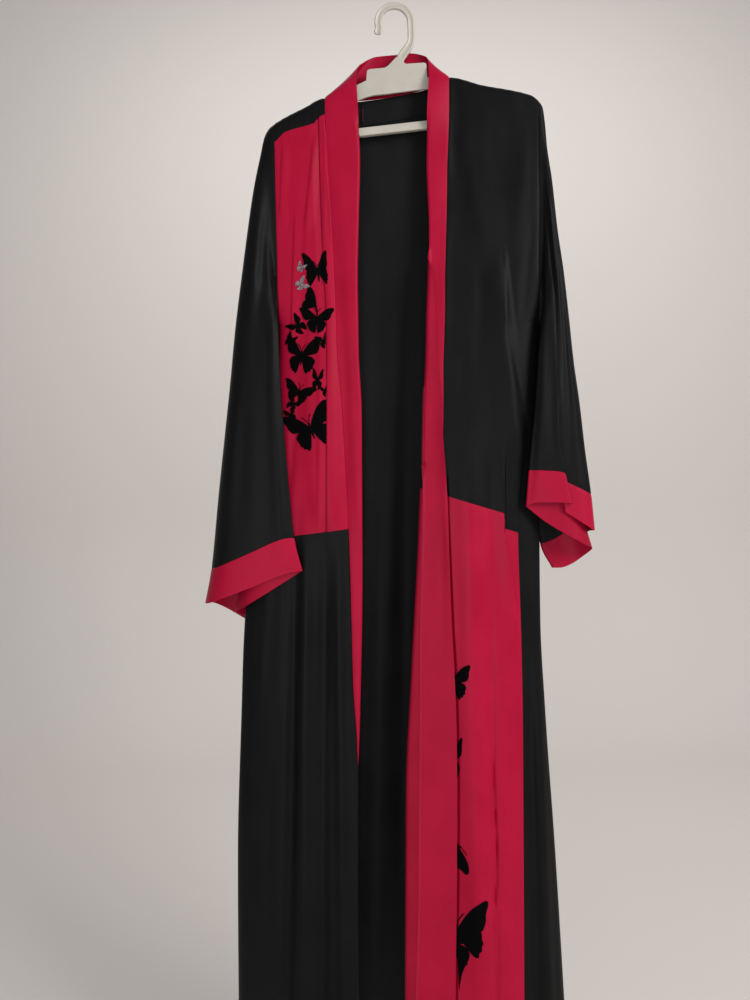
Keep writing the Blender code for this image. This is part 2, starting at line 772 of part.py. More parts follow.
def back_panel():
    """Black back, wrapping round both sides to the side seams."""
    levels = [("ridge", step) for step in RIDGE_STEPS]
    levels += [("level", level) for level in BACK_LEVELS]
    grid = []
    for kind, value in levels:
        row = []
        for i in range(BACK_COLUMNS + 1):
            share = i / BACK_COLUMNS
            share += BACK_CROWDING * math.sin(2 * math.pi * share) / (2 * math.pi)
            z = value if kind == "level" else TOP(0)
            start = 0.0
            end = math.pi
            if z <= UNDERARM:
                start = -seam_angle(z, "seam_right")
                end += seam_angle(z, "seam_left")
                start += arc_gap(start, z)
                end -= arc_gap(end, z)
            angle = between(start, end, share)
            point = body_point(angle, z)
            if kind == "ridge":
                z = TOP(point.x) - value
                y = body_y(point.x, z, 1) + (SEAM if value == 0.0 else 0.0)
                point = Vector((point.x, y, z))
            row.append(point)
        if kind == "level":
            guides = [side_guide(z, name, GUIDE_TURN) for name in ("seam_right", "seam_left")]
            row = guides[:1] + row + guides[1:]
        else:
            row = [row[0]] + row + [row[-1]]
        grid.append(row[::-1])
    ends = (0, BACK_COLUMNS)

    def keep(i, j, point):
        across = 0.0 if j in ends and point.z > UNDERARM + 1 else 1.0
        depth = neck_share(point.x) if i == 0 else 1.0
        return (across, depth, 1.0)

    wall("back_panel", grid, "black", keep=keep, spare=(0, 0, 1, 1))


def seam_levels(side):
    """Heights down the band, the same as those of the panels beside it."""
    if side < 0:
        middle = slant(CHEST_SEAM, RIGHT_EDGE["fold"](-750))
        levels = CHEST_LEVELS + (middle,) + SKIRT_LEVELS
    else:
        fold = LEFT_EDGE["fold"](-690)
        middle = (upper_slant(fold, LOWEST_UPPER_SHARE), slant(COLOUR_SEAM, fold))
        levels = UPPER_LEVELS + middle + LOWER_LEVELS
    return [level for level in levels if level < -170]


def neck_point(side, on, at):
    """Point of the neck seam, on a front at a height or on the back at an x."""
    if on == "front":
        edge = RIGHT_EDGE if side < 0 else LEFT_EDGE
        return edge_point(side, edge["seam"](at), at)
    return Vector((at, body_y(at, TOP(at), 1), TOP(at)))


def neck_row(side, row):
    """One row of the band round the neck, from its seam to its free edge."""
    values = dict(zip(NECK_NAMES, row))
    seam = neck_point(side, values["on"], values["at"])
    edge = Vector((values["edge_x"], values["edge_y"], values["edge_z"]))
    start = seam + (edge - seam).normalized() * 2 * SEAM + Vector((0, 0, values["lift"]))
    across, deep, up = NECK_BULGE
    bulge = Vector((side * across, -deep if values["on"] == "front" else deep, up))
    runs = band_runs(RIGHT_EDGE if side < 0 else LEFT_EDGE, NECK_FOOT)
    points = []
    for run in runs:
        share = (run - runs[1]) / (runs[-1] - runs[1])
        points.append(start.lerp(edge, share) + bulge * 4 * share * (1 - share))
    return points


def band_runs(edge, z):
    """Runs of a band's points across it, closest together where the cloth rolls over."""
    seam = edge["seam"](z) + SEAM
    free = edge["free"](z)
    least = BAND_LEAST_SHARE * (free - seam)
    start = min(max(0.0, seam + least), free - 2 * least)
    end = min(max(math.pi * ROLL, start + least), free - least)
    runs = [seam - (start - seam) / 3]
    for low, high, count in ((seam, start, 3), (start, end, 4), (end, free, 3)):
        runs += [between(low, high, i / count) for i in range(count)]
    return runs + [free]


def band(side):
    """One half of the neck band: from the centre back over the shoulder to the hem."""
    edge = RIGHT_EDGE if side < 0 else LEFT_EDGE
    name = "right_band" if side < 0 else "left_band"
    neck = NECK_RIGHT if side < 0 else NECK_LEFT[::-1]
    grid = [neck_row(side, row) for row in neck[::-1]]
    middle = Vector((SEAM * side, 0, 0))
    grid[0] = [point + middle for point in grid[0]]
    for z in seam_levels(side):
        grid.append([edge_point(side, run, z) for run in band_runs(edge, z)])
    spare = (0, 0, 1, 0)
    if side > 0:
        grid = [row[::-1] for row in grid]
        spare = (0, 0, 0, 1)
    wall(name, grid, "crimson", spare=spare)


def bow_rise(bow, t, along):
    """How far the front lap lies above a straight line at a place across it."""
    down_cuff = max((t - 1) / CUFF_SHARE, 0.0)
    rise = between(bow["seam"](along), bow["hem"](along), down_cuff)
    return rise * ease((t - BOW_START) / (1 - BOW_START))


def sleeve_ring(shape, bow, side, t):
    """One loop of a sleeve, listed so that its outer face runs down and across."""
    at = {name: column(t) for name, column in shape.items()}
    top = Vector((at["outer_x"], 0, at["outer_z"]))
    fold = Vector((at["fold_x"], 0, at["fold_z"]))
    halves = []
    for lap, deep in (("front", -1), ("back", 1)):
        edge = Vector((at[lap + "_x"], 0, at[lap + "_z"]))
        half = []
        for along, depth in OUTER_RUN:
            point = top.lerp(edge, along)
            point.y = deep * at["outer"] * depth
            if lap == "front":
                point.z += bow_rise(bow, t, along)
            half.append(point)
        turn = edge.copy()
        turn.y = deep * (at["outer"] + at["inner"]) / 2
        half.append(turn)
        for along, depth in INNER_RUN:
            point = edge.lerp(fold, along)
            point.y = deep * at["inner"] * depth
            half.append(point)
        halves.append(half)
    points = halves[0] + [fold] + halves[1][:0:-1]
    start = ease(1 - t / ARMHOLE_SHARE)
    gap = side * SLEEVE_GAP
    for i, point in enumerate(points):
        deep = -1 if 0 < i < len(halves[0]) else 1
        if start > 0 and i != 0 and i != len(halves[0]):
            drop = min(max((at["outer_z"] - point.z) / RIDGE_RADIUS, 0.0), 1.0)
            rounding = math.sqrt(1 - (1 - drop) ** 2)
            y = deep * armhole_depth(point.z) * rounding
            point.y = between(point.y, y, start)
        point.x += gap
    return points if side < 0 else [points[0]] + points[:0:-1]


def sleeve(side):
    """A sleeve from its armhole, straddling the body's side, with its cuff as its own piece."""
    shape = RIGHT_SLEEVE if side < 0 else LEFT_SLEEVE
    bow = RIGHT_BOW if side < 0 else LEFT_BOW
    name = "right" if side < 0 else "left"

    def keep(i, j, point):
        return (0.0 if i == 0 else 1.0, 1.0, 1.0)

    grid = []
    for t in SLEEVE_RINGS + CUFF_RINGS[1:2]:
        grid.append(sleeve_ring(shape, bow, side, 1.0 - CUFF_SEAM_SHARE if t == 1.0 else t))
    wall(name + "_sleeve", grid, "black", loop=True, keep=keep, spare=(0, 1, 0, 0))
    grid = []
    for t in SLEEVE_RINGS[-2:-1] + CUFF_RINGS:
        grid.append(sleeve_ring(shape, bow, side, 1.0 + 2 * CUFF_SEAM_SHARE if t == 1.0 else t))
    wall(name + "_cuff", grid, "crimson", loop=True, spare=(1, 0, 0, 0))


def neck_label():
    """Bare woven label on the inside of the back, under the band."""
    grid = []
    for drop in LABEL_DROPS:
        row = []
        for share in shares(LABEL_COLUMNS):
            x = between(*LABEL_ENDS, share)
            z = TOP(x) - drop
            y = body_y(x, z, 1) - WALL - LABEL_GAP - LABEL_THICK
            row.append(Vector((x, y, z)))
        grid.append(row)
    wall("neck_label", grid, "black", thick=LABEL_THICK)


def arm_top(x):
    return TOP(x) - HANGER_UNDER_CLOTH


def flat_piece(name, outlines, thick, bevel):
    """A mesh from flat outlines in the XZ plane, the first one outer and the others holes."""
    curve = bpy.data.curves.new(name, "CURVE")
    curve.dimensions = "2D"
    curve.fill_mode = "BOTH"
    curve.extrude = (thick / 2 - bevel) * MM
    curve.bevel_depth = bevel * MM
    curve.bevel_resolution = 1
    curve.offset = -bevel * MM
    for outline in outlines:
        spline = curve.splines.new("POLY")
        spline.points.add(len(outline) - 1)
        for point, (x, z) in zip(spline.points, outline):
            point.co = (x * MM, z * MM, 0, 1)
        spline.use_cyclic_u = True
    guide = bpy.data.objects.new(name + "_guide", curve)
    guide.rotation_euler = (math.pi / 2, 0, 0)
    return curve_to_mesh(guide, name)


def curve_to_mesh(guide, name):
    """Turns a curve object into a welded mesh object in world place."""
    bpy.context.scene.collection.objects.link(guide)
    bpy.context.view_layer.update()
    evaluated = guide.evaluated_get(bpy.context.evaluated_depsgraph_get())
    mesh = bpy.data.meshes.new_from_object(evaluated)
    mesh.transform(guide.matrix_world)
    bm = bmesh.new()
    bm.from_mesh(mesh)
    bmesh.ops.remove_doubles(bm, verts=bm.verts, dist=0.00002)
    bmesh.ops.recalc_face_normals(bm, faces=bm.faces)
    bm.to_mesh(mesh)
    bm.free()
    bpy.data.objects.remove(guide)
    return bpy.data.objects.new(name, mesh)


def hook_wire():
    """The hook: round over what holds it, then down and into the plate."""
    centre_z = HOOK_WIRE - HOOK_RADIUS
    path = [(-25.5, -31, HOOK_TIP_SWELL)]
    for degrees in range(200, -1, -20):
        angle = math.radians(degrees)
        x = HOOK_CENTRE_X + HOOK_RADIUS * math.cos(angle)
        path.append((x, centre_z + HOOK_RADIUS * math.sin(angle), 1))
    path += HOOK_STEM
    curve = bpy.data.curves.new("hook", "CURVE")
    curve.dimensions = "3D"
    curve.bevel_depth = HOOK_WIRE * MM
    curve.bevel_resolution = 2
    curve.use_fill_caps = True
    spline = curve.splines.new("POLY")
    spline.points.add(len(path) - 1)
    for point, (x, z, swell) in zip(spline.points, path):
        point.co = (x * MM, 0, z * MM, 1)
        point.radius = swell
    return curve_to_mesh(bpy.data.objects.new("hook_guide", curve), "hook")


def hanger():
    """One moulded hanger: arms under the shoulders, a straight bar, a plate and a hook."""
    ribs = [(x, arm_top(x)) for x in (-108, -118, -133, -148, -162, -172)]
    ribs += [(-180, -168.5), (-183.5, -176), (-183.5, -188), (-180, -192.5)]
    ribs += [(60, -169.5), (202, -156), (206.5, -152), (208, -147), (206, -141), (202, -136)]
    ribs += [(x, arm_top(x)) for x in (195, 184, 170, 150, 124, 100, 84)]
    ribs += [(84, -123.5), (100, -126.5), (150, -136), (180, -142.5), (187, -145.8)]
    ribs += [(60, -157.8), (-60, -169.5), (-160, -180), (-160, -170.5), (-108, -148.7)]
    plate = [(-116, arm_top(-116) - 1), (-104, -129.2), (-97, -127.5), (-80, -118), (-56, -107)]
    plate += [(-43, -101), (-42, -89), (-37, -85), (-15.5, -83.5), (-11, -80.5), (0, -69.5)]
    plate += [(8, -67.5), (9.3, -74.5), (12, -78.8), (36, -77.5), (39, -80), (40.5, -97)]
    plate += [(50, -102.5), (64, -105.5), (78, -103), (92, arm_top(92) - 1), (92, -124.5)]
    plate += [(46, -116), (6, -119.5), (-31, -125), (-55, -131), (-116, -151.5)]
    made = flat_piece("hanger", (ribs,), HANGER_THICK, HANGER_BEVEL)
    made.data.materials.clear()
    made.data.materials.append(MATERIALS["cream"]("hanger"))
    PARTS.objects.link(made)
    for other in (flat_piece("hanger_plate", (plate,), PLATE_THICK, 1.0), hook_wire()):
        CUTTERS.objects.link(other)
        other.hide_render = True
        other.display_type = "WIRE"
        union = made.modifiers.new("join_" + other.name, "BOOLEAN")
        union.operation = "UNION"
        union.solver = "EXACT"
        union.object = other


for old in list(bpy.context.scene.objects):
    bpy.data.objects.remove(old)
PARTS = bpy.data.collections.new("abaya_on_hanger")
CUTTERS = bpy.data.collections.new("cutters")
bpy.context.scene.collection.children.link(PARTS)
bpy.context.scene.collection.children.link(CUTTERS)

hanger()
back_panel()
right_yoke()
right_chest_panel()
right_skirt_front()
left_upper_front()
left_lower_panel()
band(-1)
band(1)
sleeve(-1)
sleeve(1)
neck_label()
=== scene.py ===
"""Open-fronted abaya of black and crimson satin, hung on a cream moulded hanger.

Sizes are in millimetres unless a name ends in _M: X to the right as the open front is looked
at, Y to the back, Z up, from the point inside the hanger's hook that takes the weight. "Left"
and "right" are the wearer's, so the right front is on the -X side.
"""
import bisect
import math
from collections import namedtuple

import bmesh
import bpy
import numpy as np
from mathutils import Matrix, Vector, noise
from mathutils.bvhtree import BVHTree


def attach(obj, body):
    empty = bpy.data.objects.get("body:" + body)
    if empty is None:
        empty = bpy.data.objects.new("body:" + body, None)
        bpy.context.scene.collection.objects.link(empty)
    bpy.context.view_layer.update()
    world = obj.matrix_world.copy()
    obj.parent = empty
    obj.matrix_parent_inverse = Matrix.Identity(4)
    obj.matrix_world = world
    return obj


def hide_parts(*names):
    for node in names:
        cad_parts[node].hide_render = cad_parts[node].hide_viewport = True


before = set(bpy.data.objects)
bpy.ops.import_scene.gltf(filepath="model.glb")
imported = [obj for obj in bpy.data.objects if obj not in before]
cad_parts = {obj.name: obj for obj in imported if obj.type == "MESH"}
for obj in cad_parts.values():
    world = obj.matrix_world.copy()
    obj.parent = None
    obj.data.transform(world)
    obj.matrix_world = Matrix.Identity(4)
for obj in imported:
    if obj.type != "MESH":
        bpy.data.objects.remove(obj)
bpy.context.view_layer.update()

# HANGER
# One injection moulding in cream plastic: two arms with a straight bar below them, a flat
# plate in the middle, and a hook grooved along both faces that flattens into the plate.
MM = 0.001
ARM_THICK = 9.0
ARM_EDGE = 1.6
PLATE_THICK = 4.4
PLATE_EDGE = 1.0
HOOK_HALF = 3.6
HOOK_CENTRE_X = -1.5
HOOK_RADIUS = 23.6
UNDER_CLOTH = 2.7


def between(a, b, share):
    return a + (b - a) * share


def ease(share):
    """Smooth step from 0 to 1."""
    share = min(max(share, 0.0), 1.0)
    return share * share * (3 - 2 * share)


def smooth(keys, values):
    """Curve through the values that never swings past them; the keys may rise or fall."""
    if keys[0] > keys[-1]:
        keys = keys[::-1]
        values = values[::-1]
    steps = []
    for i in range(len(keys) - 1):
        steps.append((values[i + 1] - values[i]) / (keys[i + 1] - keys[i]))
    slopes = [steps[0]]
    for before, after in zip(steps, steps[1:]):
        slopes.append(2 * before * after / (before + after) if before * after > 0 else 0.0)
    slopes.append(steps[-1])

    def value(key):
        key = min(max(key, keys[0]), keys[-1])
        i = min(bisect.bisect_right(keys, key) - 1, len(keys) - 2)
        gap = keys[i + 1] - keys[i]
        t = (key - keys[i]) / gap
        ends = values[i] * (1 + 2 * t) * (1 - t) ** 2 + values[i + 1] * t * t * (3 - 2 * t)
        return ends + gap * (slopes[i] * t * (1 - t) ** 2 - slopes[i + 1] * t * t * (1 - t))

    return value


def table(names, *rows):
    """Smooth functions of the first column, one for each other named column."""
    keys = [row[0] for row in rows]
    columns = {}
    for i, name in enumerate(names.split()):
        if i > 0:
            columns[name] = smooth(keys, [row[i] for row in rows])
    return columns


# The top edge of the cloth: both shoulder ridges and the back neck seam between them
TOP = table(
    "x z",
    (-176, -161),
    (-160, -152),
    (-133, -139),
    (-104, -126),
    (-80, -126),
    (-56, -125),
    (-27, -122),
    (15, -115),
    (47, -108),
    (62, -103),
    (77, -99),
    (124, -110.5),
    (174, -120),
    (195, -126),
    (204.5, -133),
)["z"]


def arm_top(x):
    return TOP(x) - UNDER_CLOTH


def in_place(name, mesh):
    piece = bpy.data.objects.new(name, mesh)
    bpy.context.scene.collection.objects.link(piece)
    return piece


def plain_mesh(guide, name):
    """A curve or modified object's final form as a welded mesh with its place in it."""
    bpy.context.view_layer.update()
    evaluated = guide.evaluated_get(bpy.context.evaluated_depsgraph_get())
    mesh = bpy.data.meshes.new_from_object(evaluated)
    mesh.transform(guide.matrix_world)
    bm = bmesh.new()
    bm.from_mesh(mesh)
    bmesh.ops.remove_doubles(bm, verts=bm.verts, dist=0.00002)
    bmesh.ops.recalc_face_normals(bm, faces=bm.faces)
    bm.to_mesh(mesh)
    bm.free()
    bpy.data.objects.remove(guide)
    mesh.name = name
    return mesh


def moulded_flat(name, outline, thick, round_edge):
    """A flat moulding from its outline in the XZ plane, with rounded edges."""
    curve = bpy.data.curves.new(name, "CURVE")
    curve.dimensions = "2D"
    curve.fill_mode = "BOTH"
    curve.extrude = (thick / 2 - round_edge) * MM
    curve.bevel_depth = round_edge * MM
    curve.bevel_resolution = 3
    curve.offset = -round_edge * MM
    spline = curve.splines.new("POLY")
    spline.points.add(len(outline) - 1)
    for point, (x, z) in zip(spline.points, outline):
        point.co = (x * MM, z * MM, 0, 1)
    spline.use_cyclic_u = True
    guide = bpy.data.objects.new(name + "_guide", curve)
    guide.rotation_euler = (math.pi / 2, 0, 0)
    bpy.context.scene.collection.objects.link(guide)
    return plain_mesh(guide, name)


def rounded_path(points, steps=6):
    """Points along a smooth line through the given ones, which are tuples of any length."""
    made = []
    count = len(points)
    for i in range(count - 1):
        before = points[max(i - 1, 0)]
        after = points[min(i + 2, count - 1)]
        for step in range(steps):
            t = step / steps
            row = []
            for p, a, b, q in zip(before, points[i], points[i + 1], after):
                bend = 2 * p - 5 * a + 4 * b - q
                twist = -p + 3 * a - 3 * b + q
                row.append(a + 0.5 * t * ((b - p) + t * (bend + t * twist)))
            made.append(tuple(row))
    return made + [points[-1]]


# The hook's section, a quarter of it: across the rod in its plane, and along Y
HOOK_SECTION = ((4.7, 0.8), (4.7, 1.6), (4.3, 2.3), (3.5, 2.7), (2.7, 2.5), (2.0, 2.0), (0.8, 1.75))
# The way down into the plate: x, z, and how much wider and deeper the rod is there
HOOK_STEM = (
    (22.5, -34, 1.0, 1.0), (22.3, -45, 1.0, 1.0), (18.8, -54, 1.2, 1.0), (12.6, -62, 1.3, 0.98),
    (7.5, -70, 1.2, 0.85), (5, -76, 1.1, 0.72), (4, -82, 1.0, 0.6),
)
# The rounded tip, from its end
HOOK_TIP = (
    (-26.0, -36.4, 0.35, 0.4), (-25.8, -35.2, 0.85, 0.85), (-25.2, -32.6, 1.1, 1.1),
    (-24.6, -29.5, 1.05, 1.1),
)


def hook_path():
    """The hook: round over what holds it, then down and into the plate."""
    path = list(HOOK_TIP)
    for degrees in range(195, -1, -15):
        turn = math.radians(degrees)
        x = HOOK_CENTRE_X + HOOK_RADIUS * math.cos(turn)
        path.append((x, HOOK_HALF - HOOK_RADIUS + HOOK_RADIUS * math.sin(turn), 1.0, 1.0))
    return rounded_path(path + list(HOOK_STEM), 3)


def grooved_rod(name, path):
    """A rod in the XZ plane with the hook's section, along (x, z, wider, deeper) points."""
    quarter = list(HOOK_SECTION)
    half = quarter + [(-u, v) for u, v in quarter[::-1]]
    section = half + [(u, -v) for u, v in half[::-1]]
    bm = bmesh.new()
    rings = []
    for i, (x, z, wider, deeper) in enumerate(path):
        before = path[max(i - 1, 0)]
        after = path[min(i + 1, len(path) - 1)]
        ahead = Vector((after[0] - before[0], 0, after[1] - before[1])).normalized()
        aside = Vector((-ahead.z, 0, ahead.x))
        ring = []
        for u, v in section:
            point = Vector((x, v * deeper, z)) + aside * u * wider
            ring.append(bm.verts.new(point * MM))
        rings.append(ring)
    for upper, lower in zip(rings, rings[1:]):
        for j in range(len(section)):
            after = (j + 1) % len(section)
            bm.faces.new((upper[j], upper[after], lower[after], lower[j]))
    for ring in (rings[0], rings[-1]):
        middle = bm.verts.new(sum((vertex.co for vertex in ring), Vector()) / len(ring))
        for j in range(len(section)):
            bm.faces.new((middle, ring[j], ring[(j + 1) % len(section)]))
    bmesh.ops.recalc_face_normals(bm, faces=bm.faces)
    mesh = bpy.data.meshes.new(name)
    bm.to_mesh(mesh)
    bm.free()
    return mesh


def hanger_outlines():
    arms = [(x, arm_top(x)) for x in (-108, -118, -133, -148, -162, -172)]
    arms += [(-180, -168.5), (-183.5, -176), (-183.5, -188), (-180, -192.5)]
    arms += [(60, -169.5), (202, -156), (206.5, -152), (208, -147), (206, -141), (202, -136)]
    arms += [(x, arm_top(x)) for x in (195, 184, 170, 150, 124, 100, 84)]
    arms += [(84, -123.5), (100, -126.5), (150, -136), (180, -142.5), (187, -145.8)]
    arms += [(60, -157.8), (-60, -169.5), (-160, -180), (-160, -170.5), (-108, -148.7)]
    plate = [(-116, arm_top(-116) - 1), (-104, -129.2), (-97, -127.5), (-80, -118), (-56, -107)]
    plate += [(-43, -101), (-42, -89), (-40.8, -86.4), (-37, -85), (-15.5, -83.5), (-11, -80.5)]
    plate += [(-7, -76.5), (0, -69.5), (8, -66.5), (10.8, -72.5), (12, -76.4), (14.5, -78.4)]
    plate += [(40.5, -77), (43.2, -77.8), (44.4, -79.8), (45.4, -97), (52, -102.5), (64, -105.5)]
    plate += [(78, -103), (92, arm_top(92) - 1), (92, -122), (46, -114.2), (24, -116.2)]
    plate += [(4, -118.4), (-14, -120.5), (-32, -122), (-45, -125.2), (-55, -129.2), (-116, -151.5)]
    return arms, plate


def joined(name, meshes):
    """Boolean union of closed meshes, as one closed mesh."""
    first = in_place(name, meshes[0])
    others = []
    for mesh in meshes[1:]:
        other = in_place(mesh.name + "_part", mesh)
        union = first.modifiers.new(other.name, "BOOLEAN")
        union.operation = "UNION"
        union.solver = "EXACT"
        union.object = other
        others.append(other)
    made = plain_mesh(first, name)
    for other in others:
        bpy.data.objects.remove(other)
    return made


def soft_shading(piece, degrees=40):
    piece.data.shade_smooth()
    piece.data.set_sharp_from_angle(angle=math.radians(degrees))


def put(sockets, values):
    """Sets a node's input sockets by name."""
    for name, value in values.items():
        sockets[name].default_value = value


def add_node(tree, kind, values=(), **settings):
    node = tree.nodes.new(kind)
    for name, value in settings.items():
        setattr(node, name, value)
    put(node.inputs, dict(values))
    return node


def wire(tree, *links):
    """Links nodes: each link is a node, its output, the next node and its input."""
    for node, output, after, entry in links:
        tree.links.new(node.outputs[output], after.inputs[entry])


def colour_ramp(tree, dark, light, low=0.0, high=1.0):
    """A ramp from a dark to a light colour, between two places."""
    made = add_node(tree, "ShaderNodeValToRGB")
    for stop, place, colour in zip(made.color_ramp.elements, (low, high), (dark, light)):
        stop.position = place
        stop.color = (*colour, 1)
    return made


def new_material(name, slot):
    """A material with one Principled shader, remembered with its record slot."""
    made = bpy.data.materials.new(name)
    made.use_nodes = True
    made["slot"] = slot
    return made, made.node_tree, made.node_tree.nodes["Principled BSDF"]


def hanger_plastic():
    """Cream plastic: faint flow marks in the colour and a slightly uneven gloss."""
    made, tree, shader = new_material("cream_plastic", "hanger_plastic")
    place = add_node(tree, "ShaderNodeTexCoord")
    cloud = add_node(tree, "ShaderNodeTexNoise", {"Scale": 38.0, "Detail": 3.0})
    tint = colour_ramp(tree, (0.46, 0.425, 0.365), (0.55, 0.515, 0.45))
    gloss = add_node(tree, "ShaderNodeMapRange", {"To Min": 0.30, "To Max": 0.44})
    grain = add_node(tree, "ShaderNodeTexNoise", {"Scale": 1400.0, "Detail": 2.0})
    bump = add_node(tree, "ShaderNodeBump", {"Strength": 0.12, "Distance": 0.0002})
    wire(
        tree,
        (place, "Object", cloud, "Vector"),
        (place, "Object", grain, "Vector"),
        (cloud, "Fac", tint, "Fac"),
        (cloud, "Fac", gloss, "Value"),
        (tint, "Color", shader, "Base Color"),
        (gloss, "Result", shader, "Roughness"),
        (grain, "Fac", bump, "Height"),
        (bump, "Normal", shader, "Normal"),
    )
    put(shader.inputs, {"IOR": 1.49, "Subsurface Weight": 0.08, "Subsurface Scale": 0.004})
    shader.inputs["Subsurface Radius"].default_value = (1.0, 0.8, 0.6)
    return made


def finish_piece(piece, material, *nodes):
    """Gives a piece its material, its body and the solids it stands for."""
    piece.data.materials.clear()
    piece.data.materials.append(material)
    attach(piece, "root")
    if nodes:
        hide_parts(*nodes)


cream = hanger_plastic()
arms, plate = hanger_outlines()
hanger = in_place("moulded_hanger", joined("moulded_hanger", [
    moulded_flat("hanger_arms", arms, ARM_THICK, ARM_EDGE),
    moulded_flat("hanger_plate", plate, PLATE_THICK, PLATE_EDGE),
    grooved_rod("hanger_hook", hook_path()),
]))
soft_shading(hanger)
finish_piece(hanger, cream, "hanger")

# BACK
# One piece of black satin from the shoulder seams and the neck to the hem. It wraps forward
# round both sides, so the side seams lie on the front, and falls in long soft flutes.
CLOTH = 0.7
SEAM = 0.05
UNDERARM = -450.0
HEM = -1540.0
ARM_RIGHT_X = -176.0
ARM_LEFT_X = 204.5
ARM_DEPTH = 12.0
ARM_ROUNDING = 70.0
NECK_RIGHT_X = -104.0
NECK_LEFT_X = 77.0
NECK_TURN = 14.0
RIDGE_RADIUS = 11.0
ROW_STEP = 9.0
BACK_COLUMNS = 150
BACK_CROWDING = 0.4
BACK_LEVEL_TOP = -195
GUIDE_ANGLE = 0.03
# The body's swell towards the armholes: where it starts below the underarm, over what height
# it grows, and how sharply it gives way to the armhole's own depth
SWELL_BELOW = 50
SWELL_HEIGHT = 160
SWELL_SHARPNESS = 24
# Satin's slow waves: width, length and height of the broad and the fine ones
BROAD_WAVE = (46, 170, 1.1)
FINE_WAVE = (19, 64, 0.35)
# Seams: how deep and wide the cloth dips; where the turnings are pressed to this side how it
# rises and rolls down, on the other side how it slopes; then the thread's puckers
SEAM_DIP = 0.35
DIP_WIDTH = 1.6
PRESSED_DIP = 1.6
PRESSED_TOP = -165.0
PROUD_RISE = 0.6
PROUD_WIDTH = 6.0
PROUD_ROLL = 0.9
SUNK_SLOPE = 4.5
PUCKER_PITCH = 13.0
PUCKER_HEIGHT = 0.22
PUCKER_REACH = 7.0
PUCKER_START = 1.2
PUCKER_DRIFT = 41
PRESSED_FADE = 40

# The body at each height: its sides, how deep its front and back stand, and the side seams
BODY = table(
    "z left right front back seam_right seam_left",
    (-90, -176, 204.5, 11, 14, -176, 204.5),
    (-180, -176, 204.5, 12, 14, -176, 204.5),
    (-300, -176, 204.5, 16, 17, -176, 204.5),
    (-450, -176, 204.5, 20, 21, -176, 204.5),
    (-600, -190, 204.5, 22, 23, -184, 190),
    (-755, -216, 205, 24, 25, -206, 170.5),
    (-890, -236, 206, 26, 27, -224, 174),
    (-1030, -244, 213, 28, 29, -230, 176),
    (-1240, -254, 227, 32, 33, -236, 175),
    (-1540, -259, 244, 36, 37, -240, 174),
)


def named_rows(names, *rows):
    """Rows of values whose columns have names."""
    kind = namedtuple("row", names)
    return [kind(*row) for row in rows]


# Long folds: place at the top and bottom, reach, fade, half widths and height from the cloth
FOLD_NAMES = "x_top x_bottom z_top z_bottom fade before after height"
FRONT_FOLDS = named_rows(
    FOLD_NAMES,
    (-115, -136, -158, -330, 50, 2.2, 16, 1.9),
    (-146, -158, -262, -490, 70, 2.2, 15, 1.7),
    (-163, -170, -182, -300, 30, 2.4, 13, 2.2),
    (-150, -186, -700, -1600, 250, 14, 15, -6.0),
    (-140, -160, -700, -1600, 250, 18, 18, 6.5),
    (-112, -131, -700, -1600, 250, 13, 14, -5.0),
    (-92, -97, -700, -1600, 250, 12, 12, 4.5),
    (-104, -107, -400, -800, 160, 46, 28, 7.0),
    (-95, -75, -230, -800, 180, 14, 18, -3.0),
    (80, 85, -115, -260, 60, 12, 14, -1.2),
    (140, 172, -330, -660, 110, 34, 20, 5.0),
    (96, 108, -450, -1600, 400, 30, 34, 6.0),
    (128, 133, -800, -1600, 200, 9, 9, -2.6),
    (182, 196, -800, -1600, 300, 14, 16, -6.0),
    (196, 218, -800, -1600, 300, 16, 14, 6.0),
)
# The sharp fold by the left side seam: place of its edge, its reach, rise and width
KNIFE_X = table(
    "z x",
    (-150, 150),
    (-690, 151),
    (-728, 151.5),
    (-755, 153),
    (-815, 160),
    (-870, 167),
    (-925, 171),
    (-1540, 172),
)["x"]
KNIFE_TOP = -590.0
KNIFE_FOOT = -950.0
KNIFE_RISE = 4.5
KNIFE_STEP = 1.2
# How it fades at its top and foot, its widths before and beyond the edge, and the share of its
# rise that the hollow beyond the edge sinks
KNIFE_TOP_FADE = 130
KNIFE_FOOT_FADE = 160
KNIFE_BEFORE = 15
KNIFE_BEYOND = 14
KNIFE_SINK = 0.3
KNIFE_REACH = 40
# The narrow groove beside the turned band's free edge: its place, top, half width and depth
GROOVE_X = table(
    "z x",
    (-600, 66.5),
    (-690, 66.3),
    (-794, 69.3),
    (-886, 72.3),
    (-995, 77.0),
    (-1109, 78.2),
    (-1264, 76.2),
    (-1454, 72.2),
    (-1540, 70.2),
)["x"]
GROOVE_TOP = -650.0
GROOVE_FADE = 60
GROOVE_HALF = 1.4
GROOVE_DEEP = 3.6
BACK_FOLDS = named_rows(
    FOLD_NAMES,
    (-130, -196, -260, -1600, 500, 26, 26, 6.0),
    (-96, -150, -420, -1600, 400, 22, 22, -6.0),
    (-62, -104, -300, -1600, 600, 24, 24, 7.0),
    (-20, -54, -520, -1600, 500, 24, 24, -5.5),
    (18, -8, -240, -1600, 700, 26, 26, 8.0),
    (48, 44, -560, -1600, 500, 26, 26, -6.0),
    (84, 92, -300, -1600, 600, 24, 24, 7.0),
    (120, 142, -480, -1600, 400, 24, 24, -6.0),
    (158, 190, -260, -1600, 500, 26, 24, 6.0),
)

# Short creases, each along a slanted line: its two ends, half width and height
CREASE_NAMES = "x_from z_from x_to z_to width height"
